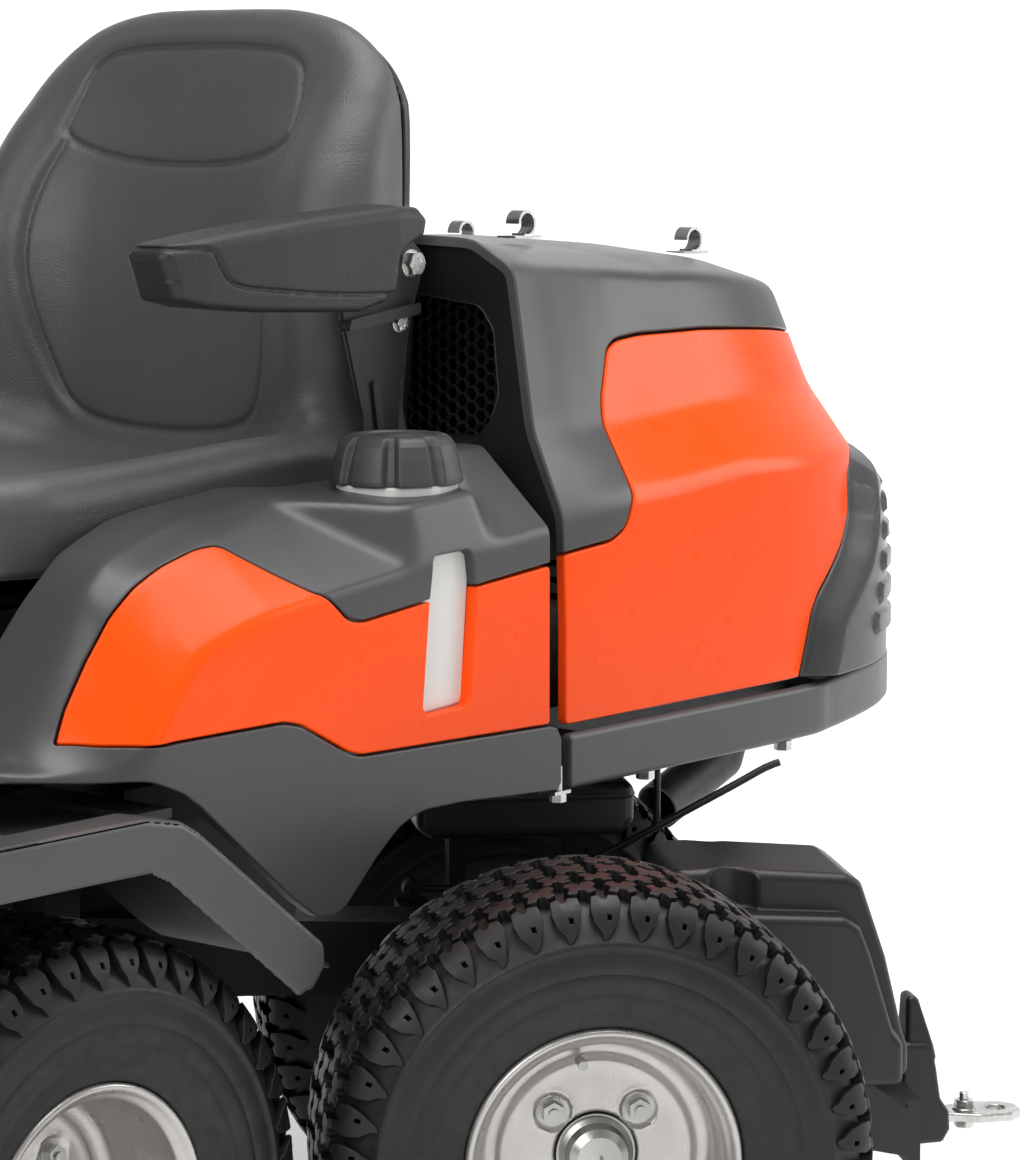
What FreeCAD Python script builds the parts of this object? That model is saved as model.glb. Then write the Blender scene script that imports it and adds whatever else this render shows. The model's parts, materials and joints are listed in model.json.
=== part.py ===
import FreeCAD, Part
import math, os
from FreeCAD import Vector as V

os.makedirs("parts", exist_ok=True)

# Articulated front-mower rider.  Working frame while modelling, in mm:
# X runs rearwards from the front axle, the machine faces -X, its left side is -Y, Z=0 is the ground.
# At the end every node moves by one common vector, so that the origin is the bottom centre of the whole.
# The rear carriage is modelled at full left lock, turned by LOCK about the articulation pin.

# ---------------------------------------------------------------- driving dimensions
PIVOT_X = 279.7          # articulation pin, behind the front axle
LOCK = -41.7             # degrees, carriage angle as modelled
AXLE_BACK = 476.8        # rear axle behind the pin
TYRE_R = 231.5
TYRE_HW = 100.0          # half width of the tyre
RIM_LIP_R = 114.3
BEAD_R = 101.6
LIP_A = 86.0             # rim lip outside face from the wheel's middle plane
FRONT_CY = 320.2         # middle plane of a front wheel from the centre line
REAR_CY = 287.9
FRONT_DISC_A = -4.0      # outer face of the disc from the wheel's middle plane
REAR_DISC_A = 41.0
HUB_BORE_R = 12.55
SHAFT_R = 12.5
PIN_R = 25.0
PIN_BORE_R = 25.05
SIDE_Y = 400.0           # side covers
WALL = 4.0
HOOD_X0 = 592.0
HOOD_HY = 388.0
HINGE_X, HINGE_Z = 1262.0, 558.0
HINGE_R = 5.0
DECK_X0, DECK_X1 = -800.0, -262.0
DECK_HY = 525.0
DECK_CX = -531.0
BLADE_R = 253.0
BLADE_Y = 255.0
LIFT_X, LIFT_Z = -150.0, 215.0
HITCH_R = 9.0

NODES = {}

# ---------------------------------------------------------------- helpers
def face(pts):
    w = Part.makePolygon([V(*p) for p in pts] + [V(*pts[0])])
    return Part.Face(w)

def pxz(poly, y0, y1):
    return face([(x, y0, z) for x, z in poly]).extrude(V(0, y1 - y0, 0))

def pxy(poly, z0, z1):
    return face([(x, y, z0) for x, y in poly]).extrude(V(0, 0, z1 - z0))

def pyz(poly, x0, x1):
    return face([(x0, y, z) for y, z in poly]).extrude(V(x1 - x0, 0, 0))

def box(x0, y0, z0, x1, y1, z1):
    return Part.makeBox(x1 - x0, y1 - y0, z1 - z0, V(x0, y0, z0))

def cyl(r, p, q):
    a, b = V(*p), V(*q)
    d = b - a
    return Part.makeCylinder(r, d.Length, a, d)

def fuse(items):
    items = list(items)
    s = items[0]
    if len(items) > 1:
        s = s.fuse(items[1:])
    return s.removeSplitter()

def comp(items):
    out = []
    for i in items:
        out += i.Solids
    return Part.makeCompound(out)

def inset(poly, t):
    # move each side of a simple polygon inwards by t (number, or one per side)
    n = len(poly)
    ts = [t] * n if not isinstance(t, (list, tuple)) else list(t)
    area = sum(poly[i][0] * poly[(i + 1) % n][1] - poly[(i + 1) % n][0] * poly[i][1] for i in range(n))
    s = 1.0 if area > 0 else -1.0
    lines = []
    for i in range(n):
        (ax, ay), (bx, by) = poly[i], poly[(i + 1) % n]
        L = math.hypot(bx - ax, by - ay)
        nx, ny = -(by - ay) / L * s, (bx - ax) / L * s
        lines.append((ax + nx * ts[i], ay + ny * ts[i], bx - ax, by - ay))
    out = []
    for i in range(n):
        x1, y1, dx1, dy1 = lines[i - 1]
        x2, y2, dx2, dy2 = lines[i]
        den = dx1 * dy2 - dy1 * dx2
        if abs(den) < 1e-9:
            out.append((x2, y2))
            continue
        k = ((x2 - x1) * dy2 - (y2 - y1) * dx2) / den
        out.append((x1 + dx1 * k, y1 + dy1 * k))
    return out

def mirror_y(s):
    return s.mirror(V(0, 0, 0), V(0, 1, 0))

def both(s):
    return comp([s, mirror_y(s)])

def revolve(profile, p, axis):
    # profile: closed (a, r) points; a along the axis from p, r away from it
    ax = V(*axis).normalize()
    ref = V(0, 0, 1) if abs(ax.z) < 0.9 else V(1, 0, 0)
    rad = (ref - ax * ref.dot(ax)).normalize()
    o = V(*p)
    pts = [o + ax * a + rad * r for a, r in profile]
    f = Part.Face(Part.makePolygon(pts + [pts[0]]))
    return f.revolve(o, ax, 360)

def hexhead(p, axis, af, h):
    ax = V(*axis).normalize()
    ref = V(0, 0, 1) if abs(ax.z) < 0.9 else V(1, 0, 0)
    u = (ref - ax * ref.dot(ax)).normalize()
    v = ax.cross(u)
    R = af / math.sqrt(3)
    o = V(*p)
    pts = [o + u * (R * math.cos(math.radians(60 * k))) + v * (R * math.sin(math.radians(60 * k))) for k in range(6)]
    return Part.Face(Part.makePolygon(pts + [pts[0]])).extrude(ax * h)

def rod(points, r):
    # straight round runs joined by balls
    parts = []
    for a, b in zip(points[:-1], points[1:]):
        parts.append(cyl(r, a, b))
    for p in points[1:-1]:
        parts.append(Part.makeSphere(r, V(*p)))
    return fuse(parts)

def steer(s):
    c = s.copy()
    c.rotate(V(PIVOT_X, 0, 0), V(0, 0, 1), LOCK)
    return c

def put(name, shape, body="chassis"):
    NODES[name] = shape

# ---------------------------------------------------------------- main frame
rail = fuse([
    pxz([(-330, 262), (205, 262), (205, 314), (-330, 314)], -170, -130).cut(box(-326, -166, 266, 161, -129, 310)),
    pxz([(165, 262), (205, 262), (215, 495), (175, 495)], -170, -130),
])
upper = fuse([
    box(175, -262, 495, 1190, -224, 533).cut(box(215, -258, 499, 1150, -220, 529)),
    box(175, -262, 495, 215, 262, 533).cut(box(179, -220, 499, 211, 220, 540)),
    box(620, -262, 495, 660, 262, 515),
    box(1150, -262, 495, 1190, 262, 533).cut(box(1154, -220, 499, 1186, 220, 540)),
])
frame = fuse([
    rail, mirror_y(rail), upper, mirror_y(upper),
    box(-330, -170, 262, -290, 170, 314).cut(box(-326, -126, 266, -280, 126, 310)),
    box(-110, -170, 302, 110, 170, 314),
    box(165, -170, 262, 205, 170, 300),
    box(175, -130, 236, 325, 130, 250), box(165, -130, 236, 205, 130, 262),
    box(175, -130, 483, 330, 130, 495),
    # engine plate and seat posts
    box(700, -259, 495, 1090, 259, 503),
    # hinge brackets for the hood
    pxz([(1188, 497), (1256, 533), (1270, 550), (1270, 564), (1256, 567), (1188, 533)], -60, -52),
    pxz([(1188, 497), (1256, 533), (1270, 550), (1270, 564), (1256, 567), (1188, 533)], 52, 60),
    # lift-arm pivot ears
    box(-170, -128, 195, -130, -122, 302), box(-170, 122, 195, -130, 128, 302), box(-170, -168, 296, -130, 168, 302),
    # outriggers that carry the side covers
    box(430, -392, 515, 470, -262, 531), box(430, 262, 515, 470, 392, 531),
    box(60, -392, 538, 100, -170, 546), box(60, 170, 538, 100, 392, 546),
    box(60, -170, 314, 100, -130, 546), box(60, 130, 314, 100, 170, 546),
    # arms that carry the bumper band
    box(700, -391, 498, 740, -262, 512), box(700, 262, 498, 740, 391, 512),
    box(1100, -330, 498, 1140, -262, 512), box(1100, 262, 498, 1140, 330, 512),
])
frame = frame.cut(cyl(PIN_R, (PIVOT_X, 0, 200), (PIVOT_X, 0, 600)))
frame = frame.cut(cyl(HINGE_R, (HINGE_X, -230, HINGE_Z), (HINGE_X, 230, HINGE_Z)))
frame = frame.cut(cyl(10.05, (LIFT_X, -200, LIFT_Z), (LIFT_X, 200, LIFT_Z)))
put("main_frame", frame)

put("pivot_pin", fuse([cyl(PIN_R, (PIVOT_X, 0, 236), (PIVOT_X, 0, 505)),
                       hexhead((PIVOT_X, 0, 505), (0, 0, 1), 60, 22)]))

# ---------------------------------------------------------------- wheels
def tyre_profile():
    out = [(0, TYRE_R), (40, TYRE_R - 0.6), (70, TYRE_R - 3), (84, TYRE_R - 9), (93, TYRE_R - 20), (98, TYRE_R - 34),
           (TYRE_HW, TYRE_R - 48), (TYRE_HW, 160), (95, 138), (88, 124), (84, 116), (79.5, 115.3), (79.5, 102.3)]
    inn = [(66, 102.3), (68, 116), (80, 132), (88, 150), (89, 180), (84, 205), (66, 218), (0, 221)]
    half = out + inn
    left = [(-a, r) for a, r in reversed(out[1:])] 
    # full closed section
    sec = [(-a, r) for a, r in reversed(out[1:])] + out + inn + [(-a, r) for a, r in reversed(inn[:-1])]
    return sec

def rim_profile(disc_a):
    d = disc_a
    # barrel with lips, then a dished disc welded inside
    return [(-86, 114.3), (-86, 109), (-80.2, 98), (d - 12, 98), (d - 12, 92), (d - 8, 60), (d - 4, 44), (d - 4, 34),
            (d, 34), (d, 44), (d - 4, 60), (d - 7, 88), (d - 2, 95), (d + 8, 98), (80.2, 98), (86, 109), (86, 114.3), (82, 114.3), (79.6, 102),
            (-79.6, 102), (-82, 114.3)]

def wheel(cx, cy, side, disc_a):
    # side: -1 left (outwards is -Y), +1 right
    p, ax = (cx, cy, TYRE_R), (0, side, 0)
    tyre = revolve(tyre_profile(), p, ax)
    rim = revolve(rim_profile(disc_a), p, ax)
    holes, bolts = [], []
    for k in range(4):
        t = math.radians(45 + 90 * k)
        q = (cx + 50.8 * math.cos(t), cy, TYRE_R + 50.8 * math.sin(t))
        def at(a, q=q):
            return (q[0], cy + side * a, q[2])
        holes.append(cyl(6.0, at(disc_a - 40), at(disc_a + 20)))
        bolts.append(fuse([hexhead(at(disc_a), ax, 17, 9.5), cyl(11.5, at(disc_a), at(disc_a + 1.5)),
                           cyl(6.0, at(disc_a - 26), at(disc_a)), cyl(4.5, at(disc_a + 9), at(disc_a + 12))]))
    rim = rim.cut(Part.makeCompound(holes))
    # seats for the bolt heads: flat pads on the dished disc
    pads = []
    for k in range(4):
        t = math.radians(45 + 90 * k)
        q = (cx + 50.8 * math.cos(t), 0, TYRE_R + 50.8 * math.sin(t))
        pads.append(cyl(13, (q[0], cy + side * (disc_a - 9), q[2]), (q[0], cy + side * disc_a, q[2])).cut(
            cyl(6.0, (q[0], cy + side * (disc_a - 30), q[2]), (q[0], cy + side * (disc_a + 5), q[2]))))
    rim = fuse([rim] + pads)
    def P(a):
        return (cx, cy + side * a, TYRE_R)
    flange = fuse([cyl(64, P(disc_a - 24), P(disc_a - 14)), cyl(33, P(disc_a - 60), P(disc_a + 2))])
    flange = flange.cut(rim)
    for h in holes:
        flange = flange.cut(h)
    flange = flange.cut(cyl(HUB_BORE_R, P(-200), P(200)))
    cap = revolve([(disc_a + 2, 31), (disc_a + 2, 15), (disc_a + 14, 15), (disc_a + 14, 0), (disc_a + 22, 0), (disc_a + 21.5, 18), (disc_a + 18, 24.5),
                   (disc_a + 8, 27), (disc_a + 5, 31)], P(0), ax)
    # valve stem through the disc near the barrel
    tv = math.radians(100)
    vq = (cx + 80 * math.cos(tv), 0, TYRE_R + 80 * math.sin(tv))
    stem = cyl(4.0, (vq[0], cy + side * (disc_a - 12), vq[2]), (vq[0], cy + side * (disc_a + 22), vq[2]))
    rim = rim.cut(cyl(4.0, (vq[0], cy + side * (disc_a - 40), vq[2]), (vq[0], cy + side * (disc_a + 40), vq[2])))
    return tyre, rim, comp([flange, cap, stem] + bolts)

for nm, cx, cy, side, da in (("front_left", 0, -FRONT_CY, -1, FRONT_DISC_A), ("front_right", 0, FRONT_CY, 1, FRONT_DISC_A)):
    t, r, h = wheel(cx, cy, side, da)
    put("tyre_" + nm, t); put("rim_" + nm, r); put("hub_" + nm, h)
for nm, cy, side in (("rear_left", -REAR_CY, -1), ("rear_right", REAR_CY, 1)):
    t, r, h = wheel(PIVOT_X + AXLE_BACK, cy, side, REAR_DISC_A)
    put("tyre_" + nm, steer(t)); put("rim_" + nm, steer(r)); put("hub_" + nm, steer(h))

def axle(cx, cy, disc_a, hw):
    tip = cy + disc_a + 6
    s = [pxz([(cx - 70, 170), (cx + 70, 170), (cx + 78, 230), (cx + 55, 290), (cx - 55, 290), (cx - 78, 230)], -hw, hw),
         cyl(SHAFT_R, (cx, -tip, TYRE_R), (cx, tip, TYRE_R))]
    inner = cy + disc_a - 60 - 1.5
    s.append(cyl(30, (cx, -inner, TYRE_R), (cx, inner, TYRE_R)))
    for sg in (-1, 1):
        for dz in (-38, 38):
            s.append(cyl(9, (cx - 40, sg * (hw - 1), TYRE_R + dz), (cx - 40, sg * (hw + 8), TYRE_R + dz)))
            s.append(cyl(9, (cx + 40, sg * (hw - 1), TYRE_R + dz), (cx + 40, sg * (hw + 8), TYRE_R + dz)))
    return fuse(s)

fa = axle(0, FRONT_CY, FRONT_DISC_A, 110)
fa = fuse([fa, box(-50, -100, 285, 50, 100, 302)])
put("front_axle", fa)

# ---------------------------------------------------------------- rear carriage (modelled straight, then steered)
RX = PIVOT_X + AXLE_BACK
ra = axle(RX, REAR_CY, REAR_DISC_A, 105)
put("rear_axle", steer(ra))

cf = fuse([
    cyl(42, (PIVOT_X, 0, 254), (PIVOT_X, 0, 479)),
    pxz([(PIVOT_X + 20, 305), (660, 300), (690, 325), (690, 362), (PIVOT_X + 20, 380)], -34, 34),
    pxz([(PIVOT_X + 30, 380), (PIVOT_X + 30, 440), (520, 362), (520, 360)], -6, 6),
    box(640, -95, 292, 880, 95, 330),
    pxz([(836, 200), (1092, 146), (1092, 186), (880, 330), (836, 330)], -95, -87),
    pxz([(836, 200), (1092, 146), (1092, 186), (880, 330), (836, 330)], 87, 95),
    box(1082, -95, 140, 1094, 95, 200),
    box(640, 55, 330, 668, 95, 360),
    box(690, 86, 330, 705, 116, 431), box(800, 86, 330, 815, 116, 431),
])
cf = cf.cut(box(864, -200, 282, 877, 200, 430))
cf = cf.cut(cyl(PIN_BORE_R, (PIVOT_X, 0, 200), (PIVOT_X, 0, 600)))
cf = cf.cut(ra)
put("carriage_frame", steer(cf))

tank_poly = [(650, 440), (664, 431), (838, 431), (848, 445), (848, 479), (650, 479)]
put("oil_tank", steer(pxz(tank_poly, 0, 150).cut(pxz(inset(tank_poly, 3), 3, 147))))

guard = rod([(654, 75, 372), (717, 75, 370), (792, 75, 382), (836, 75, 400), (943, 75, 454), (999, 75, 481)], 3.5)
strut = fuse([box(880, 71.5, 420, 886, 78.5, 478), box(848, 71.5, 470, 886, 78.5, 478)])
put("guard_rod", steer(fuse([guard, strut, cyl(9, (640 + 14, 66, 372), (640 + 14, 84, 372)), box(645, 66, 360, 663, 84, 372)])))

cov = [(868, 300), (868, 358), (863, 398), (874, 411), (915, 412), (1031, 403), (1043, 396), (1053, 366), (1066, 327), (1082, 258), (1087, 244), (1087, 214), (1040, 250), (900, 300)]
cov_out = pxz(cov, -72, 72)
cov_in = pxz([(872, 200), (872, 360), (867.5, 396), (877, 407), (914, 408), (1029, 399), (1039, 393), (1049, 365), (1062, 326), (1078, 257), (1083, 243), (1083, 200)], -68, 68)
sh = [(868, 240), (868, 377), (1022, 369), (1035, 361), (1045, 335), (1067, 266), (1076, 253), (1076, 214), (1000, 216)]
sh_out = pxz(sh, -99.5, 99.5)
sh_in = pxz([(872, 150), (872, 373), (1020, 365), (1032, 358), (1041, 334), (1063, 265), (1072, 252), (1072, 150)], -95.5, 95.5)
cover = fuse([cov_out, sh_out]).cut(cov_in).cut(sh_in).cut(box(850, -95.5, 150, 879, 95.5, 284))
put("carriage_cover", steer(fuse(cover.Solids)))

hg = pxz([(1094, 138), (1135, 140), (1141, 152), (1140, 168), (1132, 180), (1128, 208), (1126, 229), (1118, 254), (1112, 274), (1100, 276), (1099, 232), (1094, 230)], -24, 24).cut(
    pxz([(1090, 100), (1130, 100), (1136, 154), (1135, 166), (1127, 178), (1123, 207), (1121, 228), (1113, 252), (1109, 262), (1105, 262), (1104, 226), (1099, 224), (1090, 224)], -19.5, 19.5))
hg = hg.cut(box(1090, -17, 150, 1260, 17, 164.2))
put("hitch_guard", steer(hg))
hp = pxy([(1094.2, -16), (1146, -16), (1170, -25), (1200, -21), (1211, -10), (1211, 10), (1200, 21), (1170, 25), (1146, 16), (1094.2, 16)], 156, 164)
hp = hp.cut(cyl(HITCH_R, (1190, 0, 100), (1190, 0, 200)))
hp = hp.cut(cyl(5, (1160, 0, 100), (1160, 0, 200)))
hbolts = [fuse([hexhead((1160, 0, 164), (0, 0, 1), 16, 9), cyl(5, (1160, 0, 144), (1160, 0, 164)), hexhead((1160, 0, 156), (0, 0, -1), 16, 8)])]
put("hitch_plate", steer(comp([hp] + hbolts)))

# ---------------------------------------------------------------- side covers
side = [(-78, 588), (62, 567), (101, 554), (134, 535), (251, 439), (270, 430), (291, 435), (348, 474), (383, 493), (435, 499), (557, 495),
        (557, 724), (530, 793), (424, 780), (320, 772), (239, 764), (171, 751), (110, 733), (79, 719), (41, 658), (-2, 604), (-58, 601), (-76, 598)]
front = [(-400, 400), (-400, 668), (-392, 697), (-320, 764), (-262, 766), (-262, 400)]
plan = [(-100, -345), (74, -400), (557, -400), (557, -262), (-100, -262)]
outer = pxz(side, -400, -262).common(pyz(front, -100, 600)).common(pxy(plan, 400, 900))
side_i = inset(side, WALL)
inner = pxz(side_i, -500, -200).common(pyz([(-396, 300), (-396, 667), (-389, 694), (-318, 760), (-200, 763), (-200, 300)], -100, 600)).common(
    pxy([(-104, -341), (73, -396), (700, -396), (700, -100), (-104, -100)], 400, 900))
# open below, inwards and at the rear
cover = outer.cut(inner).cut(box(-200, -398.5, 380, 620, -262 + 5, 440)).cut(box(-60, -264, 300, 549, -200, 760))
cover = cover.cut(box(130, -395.5, 380, 549, -200, 560)).cut(box(545, -392, 500, 560, -200, 715))
seam = [(18, 607), (74, 597), (212, 599), (298, 560), (555, 554), (560, 554), (560, 694), (306, 669), (269, 695), (204, 738), (137, 725), (98, 710), (54, 660)]
region = pxz(seam, -420, -335).common(pyz([(-420, 400), (-420, 700), (-330, 790), (-330, 720), (-388, 640), (-388, 400)], -100, 700))
window = pxz([(392, 593), (448, 593), (453, 716), (403, 716)], -420, -380)
region = region.fuse(pxz([(18, 607), (90, 597), (90, 660), (54, 660)], -400, -340)).removeSplitter()
panel = cover.common(region)
panel = panel.cut(window)
cover = cover.cut(region).cut(window)
hump_p = [(508, 700), (512, 772), (530, 793), (557, 793), (557, 700)]
hump = pxz(hump_p, -345, -262).cut(pxz([(512, 690), (516, 771), (532, 789), (553, 789), (553, 690)], -341, -250)).cut(box(500, -400, 600, 552.9, -250, 755))
cover = cover.fuse(hump).cut(box(508, -341, 740, 552.9, -250, 767).common(pxz([(512.2, 690), (516, 771), (532, 789), (553, 789), (553, 690)], -341, -250))).removeSplitter()
neck_hole = cyl(46, (447, -320, 700), (447, -320, 900))
cover_l = cover.cut(neck_hole)
boss = fuse([cyl(57, (447, -320, 752), (447, -320, 764))]).cut(neck_hole).cut(cover.common(box(300, -500, 700, 600, -200, 900)))
big = sorted(cover_l.Solids, key=lambda s: -s.Volume)
cover_l = fuse([big[0]] + [b for b in boss.Solids])
cover_l = sorted(cover_l.Solids, key=lambda s: -s.Volume)[0]
cover_r = mirror_y(sorted(cover.Solids, key=lambda s: -s.Volume)[0])
put("side_cover_left", cover_l)
put("side_cover_right", cover_r)
pan = sorted(panel.Solids, key=lambda s: -s.Volume)[0]
put("side_panels", comp([pan, mirror_y(pan)]))

ft = fuse([box(300, -388, 548, 544, -268, 680), cyl(40, (447, -320, 680), (447, -320, 790))])
ft = ft.cut(fuse([box(304, -384, 552, 540, -272, 676), cyl(36, (447, -320, 670), (447, -320, 800))]))
put("fuel_tank", ft)
cap = revolve([(766, 41), (766, 54), (772, 54), (800, 48), (811, 42), (813, 30), (813, 0), (808, 0), (794, 20), (794, 41)], (447, -320, 0), (0, 0, 1))
lobes = [cyl(7, (447 + 56 * math.cos(math.radians(60 * k)), -320 + 56 * math.sin(math.radians(60 * k)), 765), (447 + 52 * math.cos(math.radians(60 * k)), -320 + 52 * math.sin(math.radians(60 * k)), 815)) for k in range(6)]
cap = cap.cut(Part.makeCompound(lobes))
put("fuel_cap", cap)

# front wheel fenders: band, top surface and rounded tail
ftop = [(-246, 500), (-246, 552), (33, 552), (71, 544), (87, 535), (231, 420), (231, 400), (215, 384), (198, 382), (54, 497), (34, 507), (-121, 508), (-242, 496)]
ft_out = pxz(ftop, -435, -431)
fband = [(-246, 548), (33, 548), (70, 540), (84, 532), (228, 418), (231, 420), (87, 535), (71, 544), (33, 552), (-246, 552)]
ft_top = pxz(fband, -431, -396.5).common(box(-300, -435, 0, 122, -396, 600)).fuse(
    pxz(fband, -431, -402).common(box(118, -435, 0, 300, -396, 600))).fuse(
    box(-246, -431, 548, -79, -240, 552))
fen = fuse([ft_out, ft_top])
put("front_fenders", both(sorted(fen.Solids, key=lambda s: -s.Volume)[0]))

# ---------------------------------------------------------------- floor, console, seat base
fp = fuse([
    pxz([(-560, 352), (-556, 350), (-518, 318), (-250, 318), (-250, 543), (-246, 543), (-246, 314), (-520, 314), (-560, 347)], -400, 400),
    box(-250, -235, 539, -170, 235, 543),
])
fp = fp.cut(box(-466, -86, 300, -160, 86, 318.5)).cut(box(-480, -96, 318, -160, 96, 600)).cut(box(-234, 104, 530, -160, 132, 550))
put("footplate", fp)

con = [(-470, 318), (-440, 560), (-385, 770), (-340, 800), (-255, 760), (-215, 600), (-165, 547), (-165, 318)]
cons = pxz(con, -96, 96)
con_i = [(-464, 300), (-436, 559), (-381.5, 767), (-339, 795.3), (-258.6, 757.4), (-218.5, 598), (-169, 544), (-169, 300)]
cons = cons.cut(pxz(con_i, -92, 92))
WA = (0.5, 0, 0.8660254)      # column axis, up and back to the driver
WC = (-255.0, 0, 868.0)       # middle of the steering wheel
def wpt(k):
    return (WC[0] + WA[0] * k, 0, WC[2] + WA[2] * k)
cons = cons.cut(cyl(14.05, wpt(-300), wpt(50)))
put("steering_console", cons)

rim_w = Part.makeTorus(172, 13, V(*WC), V(*WA))
sp = [cyl(30, wpt(-32), wpt(6)), cyl(14, wpt(-165), wpt(-30))]
e1 = V(0.8660254, 0, -0.5)
for ang in (90, 210, 330):
    d = e1 * math.cos(math.radians(ang)) + V(0, 1, 0) * math.sin(math.radians(ang))
    a = V(*wpt(-14)) + d * 20
    b = V(*WC) + d * 168
    sp.append(cyl(9, tuple(a), tuple(b)))
put("steering_wheel", fuse([rim_w] + sp))

sb = box(70, -205, 533, 470, 205, 684).cut(box(74, -201, 500, 466, 201, 700))
sb = sb.fuse([box(60, -205, 546, 74, 205, 560), box(50, -150, 640, 70, -140, 700), box(50, 140, 640, 70, 150, 700)]).removeSplitter()
sb = sb.cut(cyl(6.05, (60, -220, 690), (60, 220, 690))).cut(frame)
put("seat_base", sb)

sf = fuse([box(70, -190, 687, 478, 190, 693), box(90, -150, 693, 478, -120, 703), box(90, 120, 693, 478, 150, 703),
           cyl(6.0, (60, -162, 690), (60, 162, 690)), box(54, -139, 684, 74, -100, 696), box(54, 100, 684, 74, 139, 696)])
for sg in (-1, 1):
    sf = sf.cut(box(50, min(sg * 138, sg * 152), 680, 78, max(sg * 138, sg * 152), 720).cut(cyl(6.0, (60, -162, 690), (60, 162, 690))))
put("seat_frame", sf)

# ---------------------------------------------------------------- seat
SHY = 248.0
shell_poly = [(30, 716), (30, 708), (500, 708), (520, 730), (548, 850), (583, 1010), (600, 1120), (600, 1160), (594, 1160), (594, 1121), (577, 1011), (542, 851), (515, 733), (497, 714), (60, 714)]
shell = pxz([(30, 722), (30, 706), (505, 706), (522, 730), (550, 850), (584, 1010), (600, 1120), (600, 1150), (594, 1150), (594, 1121), (578, 1011), (544, 851), (517, 733), (502, 712), (36, 712), (36, 722)], -225, 225)
runner = [box(100, -158, 696, 470, -151, 706), box(100, 112, 696, 470, 119, 706)]
runner = [box(100, -158, 697, 470, -150.3, 706), box(100, -119.7, 697, 470, -112, 706), box(100, 150.3, 697, 470, 158, 706), box(100, 112, 697, 470, 119.7, 706)]
shell = fuse([shell] + runner)
shell = shell.cut(box(80, -150.3, 600, 490, -119.7, 703.3)).cut(box(80, 119.7, 600, 490, 150.3, 703.3))
put("seat_shell", shell)
cush = pxz([(22, 745), (36.2, 722.2), (36.2, 712.2), (500, 712.2), (512, 735), (512, 770), (470, 778), (130, 792), (60, 800), (30, 786)], -SHY, SHY)
cush = cush.common(pxy([(20, -200), (70, -SHY), (520, -SHY), (520, SHY), (70, SHY), (20, 200)], 600, 900))
back = pxz([(440, 780), (512.2, 772), (517, 740), (543.5, 852), (577.5, 1012), (593.5, 1122), (593.5, 1150), (606, 1150), (606, 1160), (592, 1174), (566, 1177), (548, 1165), (520, 1083), (430, 1020), (424, 900), (430, 830)], -SHY, SHY)
back = back.common(pyz([(-SHY, 700), (-SHY, 1020), (-226, 1120), (-170, 1177), (170, 1177), (226, 1120), (SHY, 1020), (SHY, 700)], 300, 700))
back = back.cut(pxz([(425, 790), (455, 778), (523, 1083), (514, 1090), (430, 1030), (400, 1030), (400, 790)], -165, 165))
back = back.cut(cush)
put("seat_cushion", cush)
put("seat_backrest", back)

# armrest brackets on the seat shell, with a pivot stud each
AP = (460.0, 955.0)
brk = pxz([(446, 900), (441, 955), (446, 970), (460, 976), (474, 970), (481, 955), (484, 938), (536, 916), (536, 900)], -262, -256)
brk = fuse([brk, pxz([(446, 904), (536, 912), (520, 850), (506, 735), (468, 735), (470, 820)], -262, -256),
            pxz([(464, 700), (510, 700), (510, 738), (464, 738)], -262, -249), box(464, -262, 700, 510, -200, 705.7),
            cyl(6, (516, -262, 900), (516, -254, 900)), hexhead((516, -262, 900), (0, -1, 0), 13, 5.5),
            cyl(8, (AP[0], -262, AP[1]), (AP[0], -322, AP[1])), hexhead((AP[0], -322, AP[1]), (0, -1, 0), 19, 9)])
put("armrest_brackets", both(brk))
arm = [(163, 966), (172, 943), (190, 936), (268, 927), (370, 920), (450, 920), (474, 932), (485, 955), (483, 982), (470, 1000), (448, 1005), (350, 998), (240, 988), (190, 981), (168, 976)]
arml = pxz(arm, -332, -268).common(pxy([(155, -316), (175, -330), (280, -332), (510, -332), (510, -264), (175, -270), (155, -284)], 900, 1100))
arml = arml.cut(cyl(8.06, (AP[0], -200, AP[1]), (AP[0], -400, AP[1]))).cut(cyl(15, (AP[0], -340, AP[1]), (AP[0], -314, AP[1])))
arml = arml.cut(box(420, -270, 900, 510, -262, 1100))
put("armrest_left", arml)
put("armrest_right", mirror_y(arml))

# ---------------------------------------------------------------- engine, exhaust
eng = fuse([box(760, -130, 503, 1020, 130, 690), cyl(120, (890, 0, 690), (890, 0, 730)),
            pyz([(-130, 600), (-230, 620), (-230, 700), (-130, 720)], 800, 960), pyz([(130, 600), (230, 620), (230, 700), (130, 720)], 800, 960)])
for k in range(5):
    eng = eng.cut(box(790, -234, 622 + 16 * k, 970, -150, 628 + 16 * k)).cut(box(790, 150, 622 + 16 * k, 970, 234, 628 + 16 * k))
eng = fuse([eng, cyl(155, (890, 0, 730), (890, 0, 800)), cyl(120, (890, 0, 800), (890, 0, 830))])
put("engine_block", eng)
put("muffler", fuse([box(1050, -150, 560, 1190, 150, 680), box(1020, -60, 640, 1050, 60, 660)]))
px = [(1100, -100, 366), (1206, -100, 404), (1222, -100, 440), (1222, -100, 560), (1215, -100, 616), (1190, -100, 622)]
pipe = rod(px, 25)
pipe = pipe.cut(rod([(1060, -100, 351.7), (1206, -100, 404), (1222, -100, 440), (1222, -100, 560), (1215, -100, 616), (1180, -100, 624.4)], 22.5))
pipe = pipe.cut(box(1050, -150, 560, 1190, 150, 680)).cut(box(1140, -262, 490, 1190.2, 262, 540))
put("exhaust_pipe", fuse(pipe.Solids))

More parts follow.
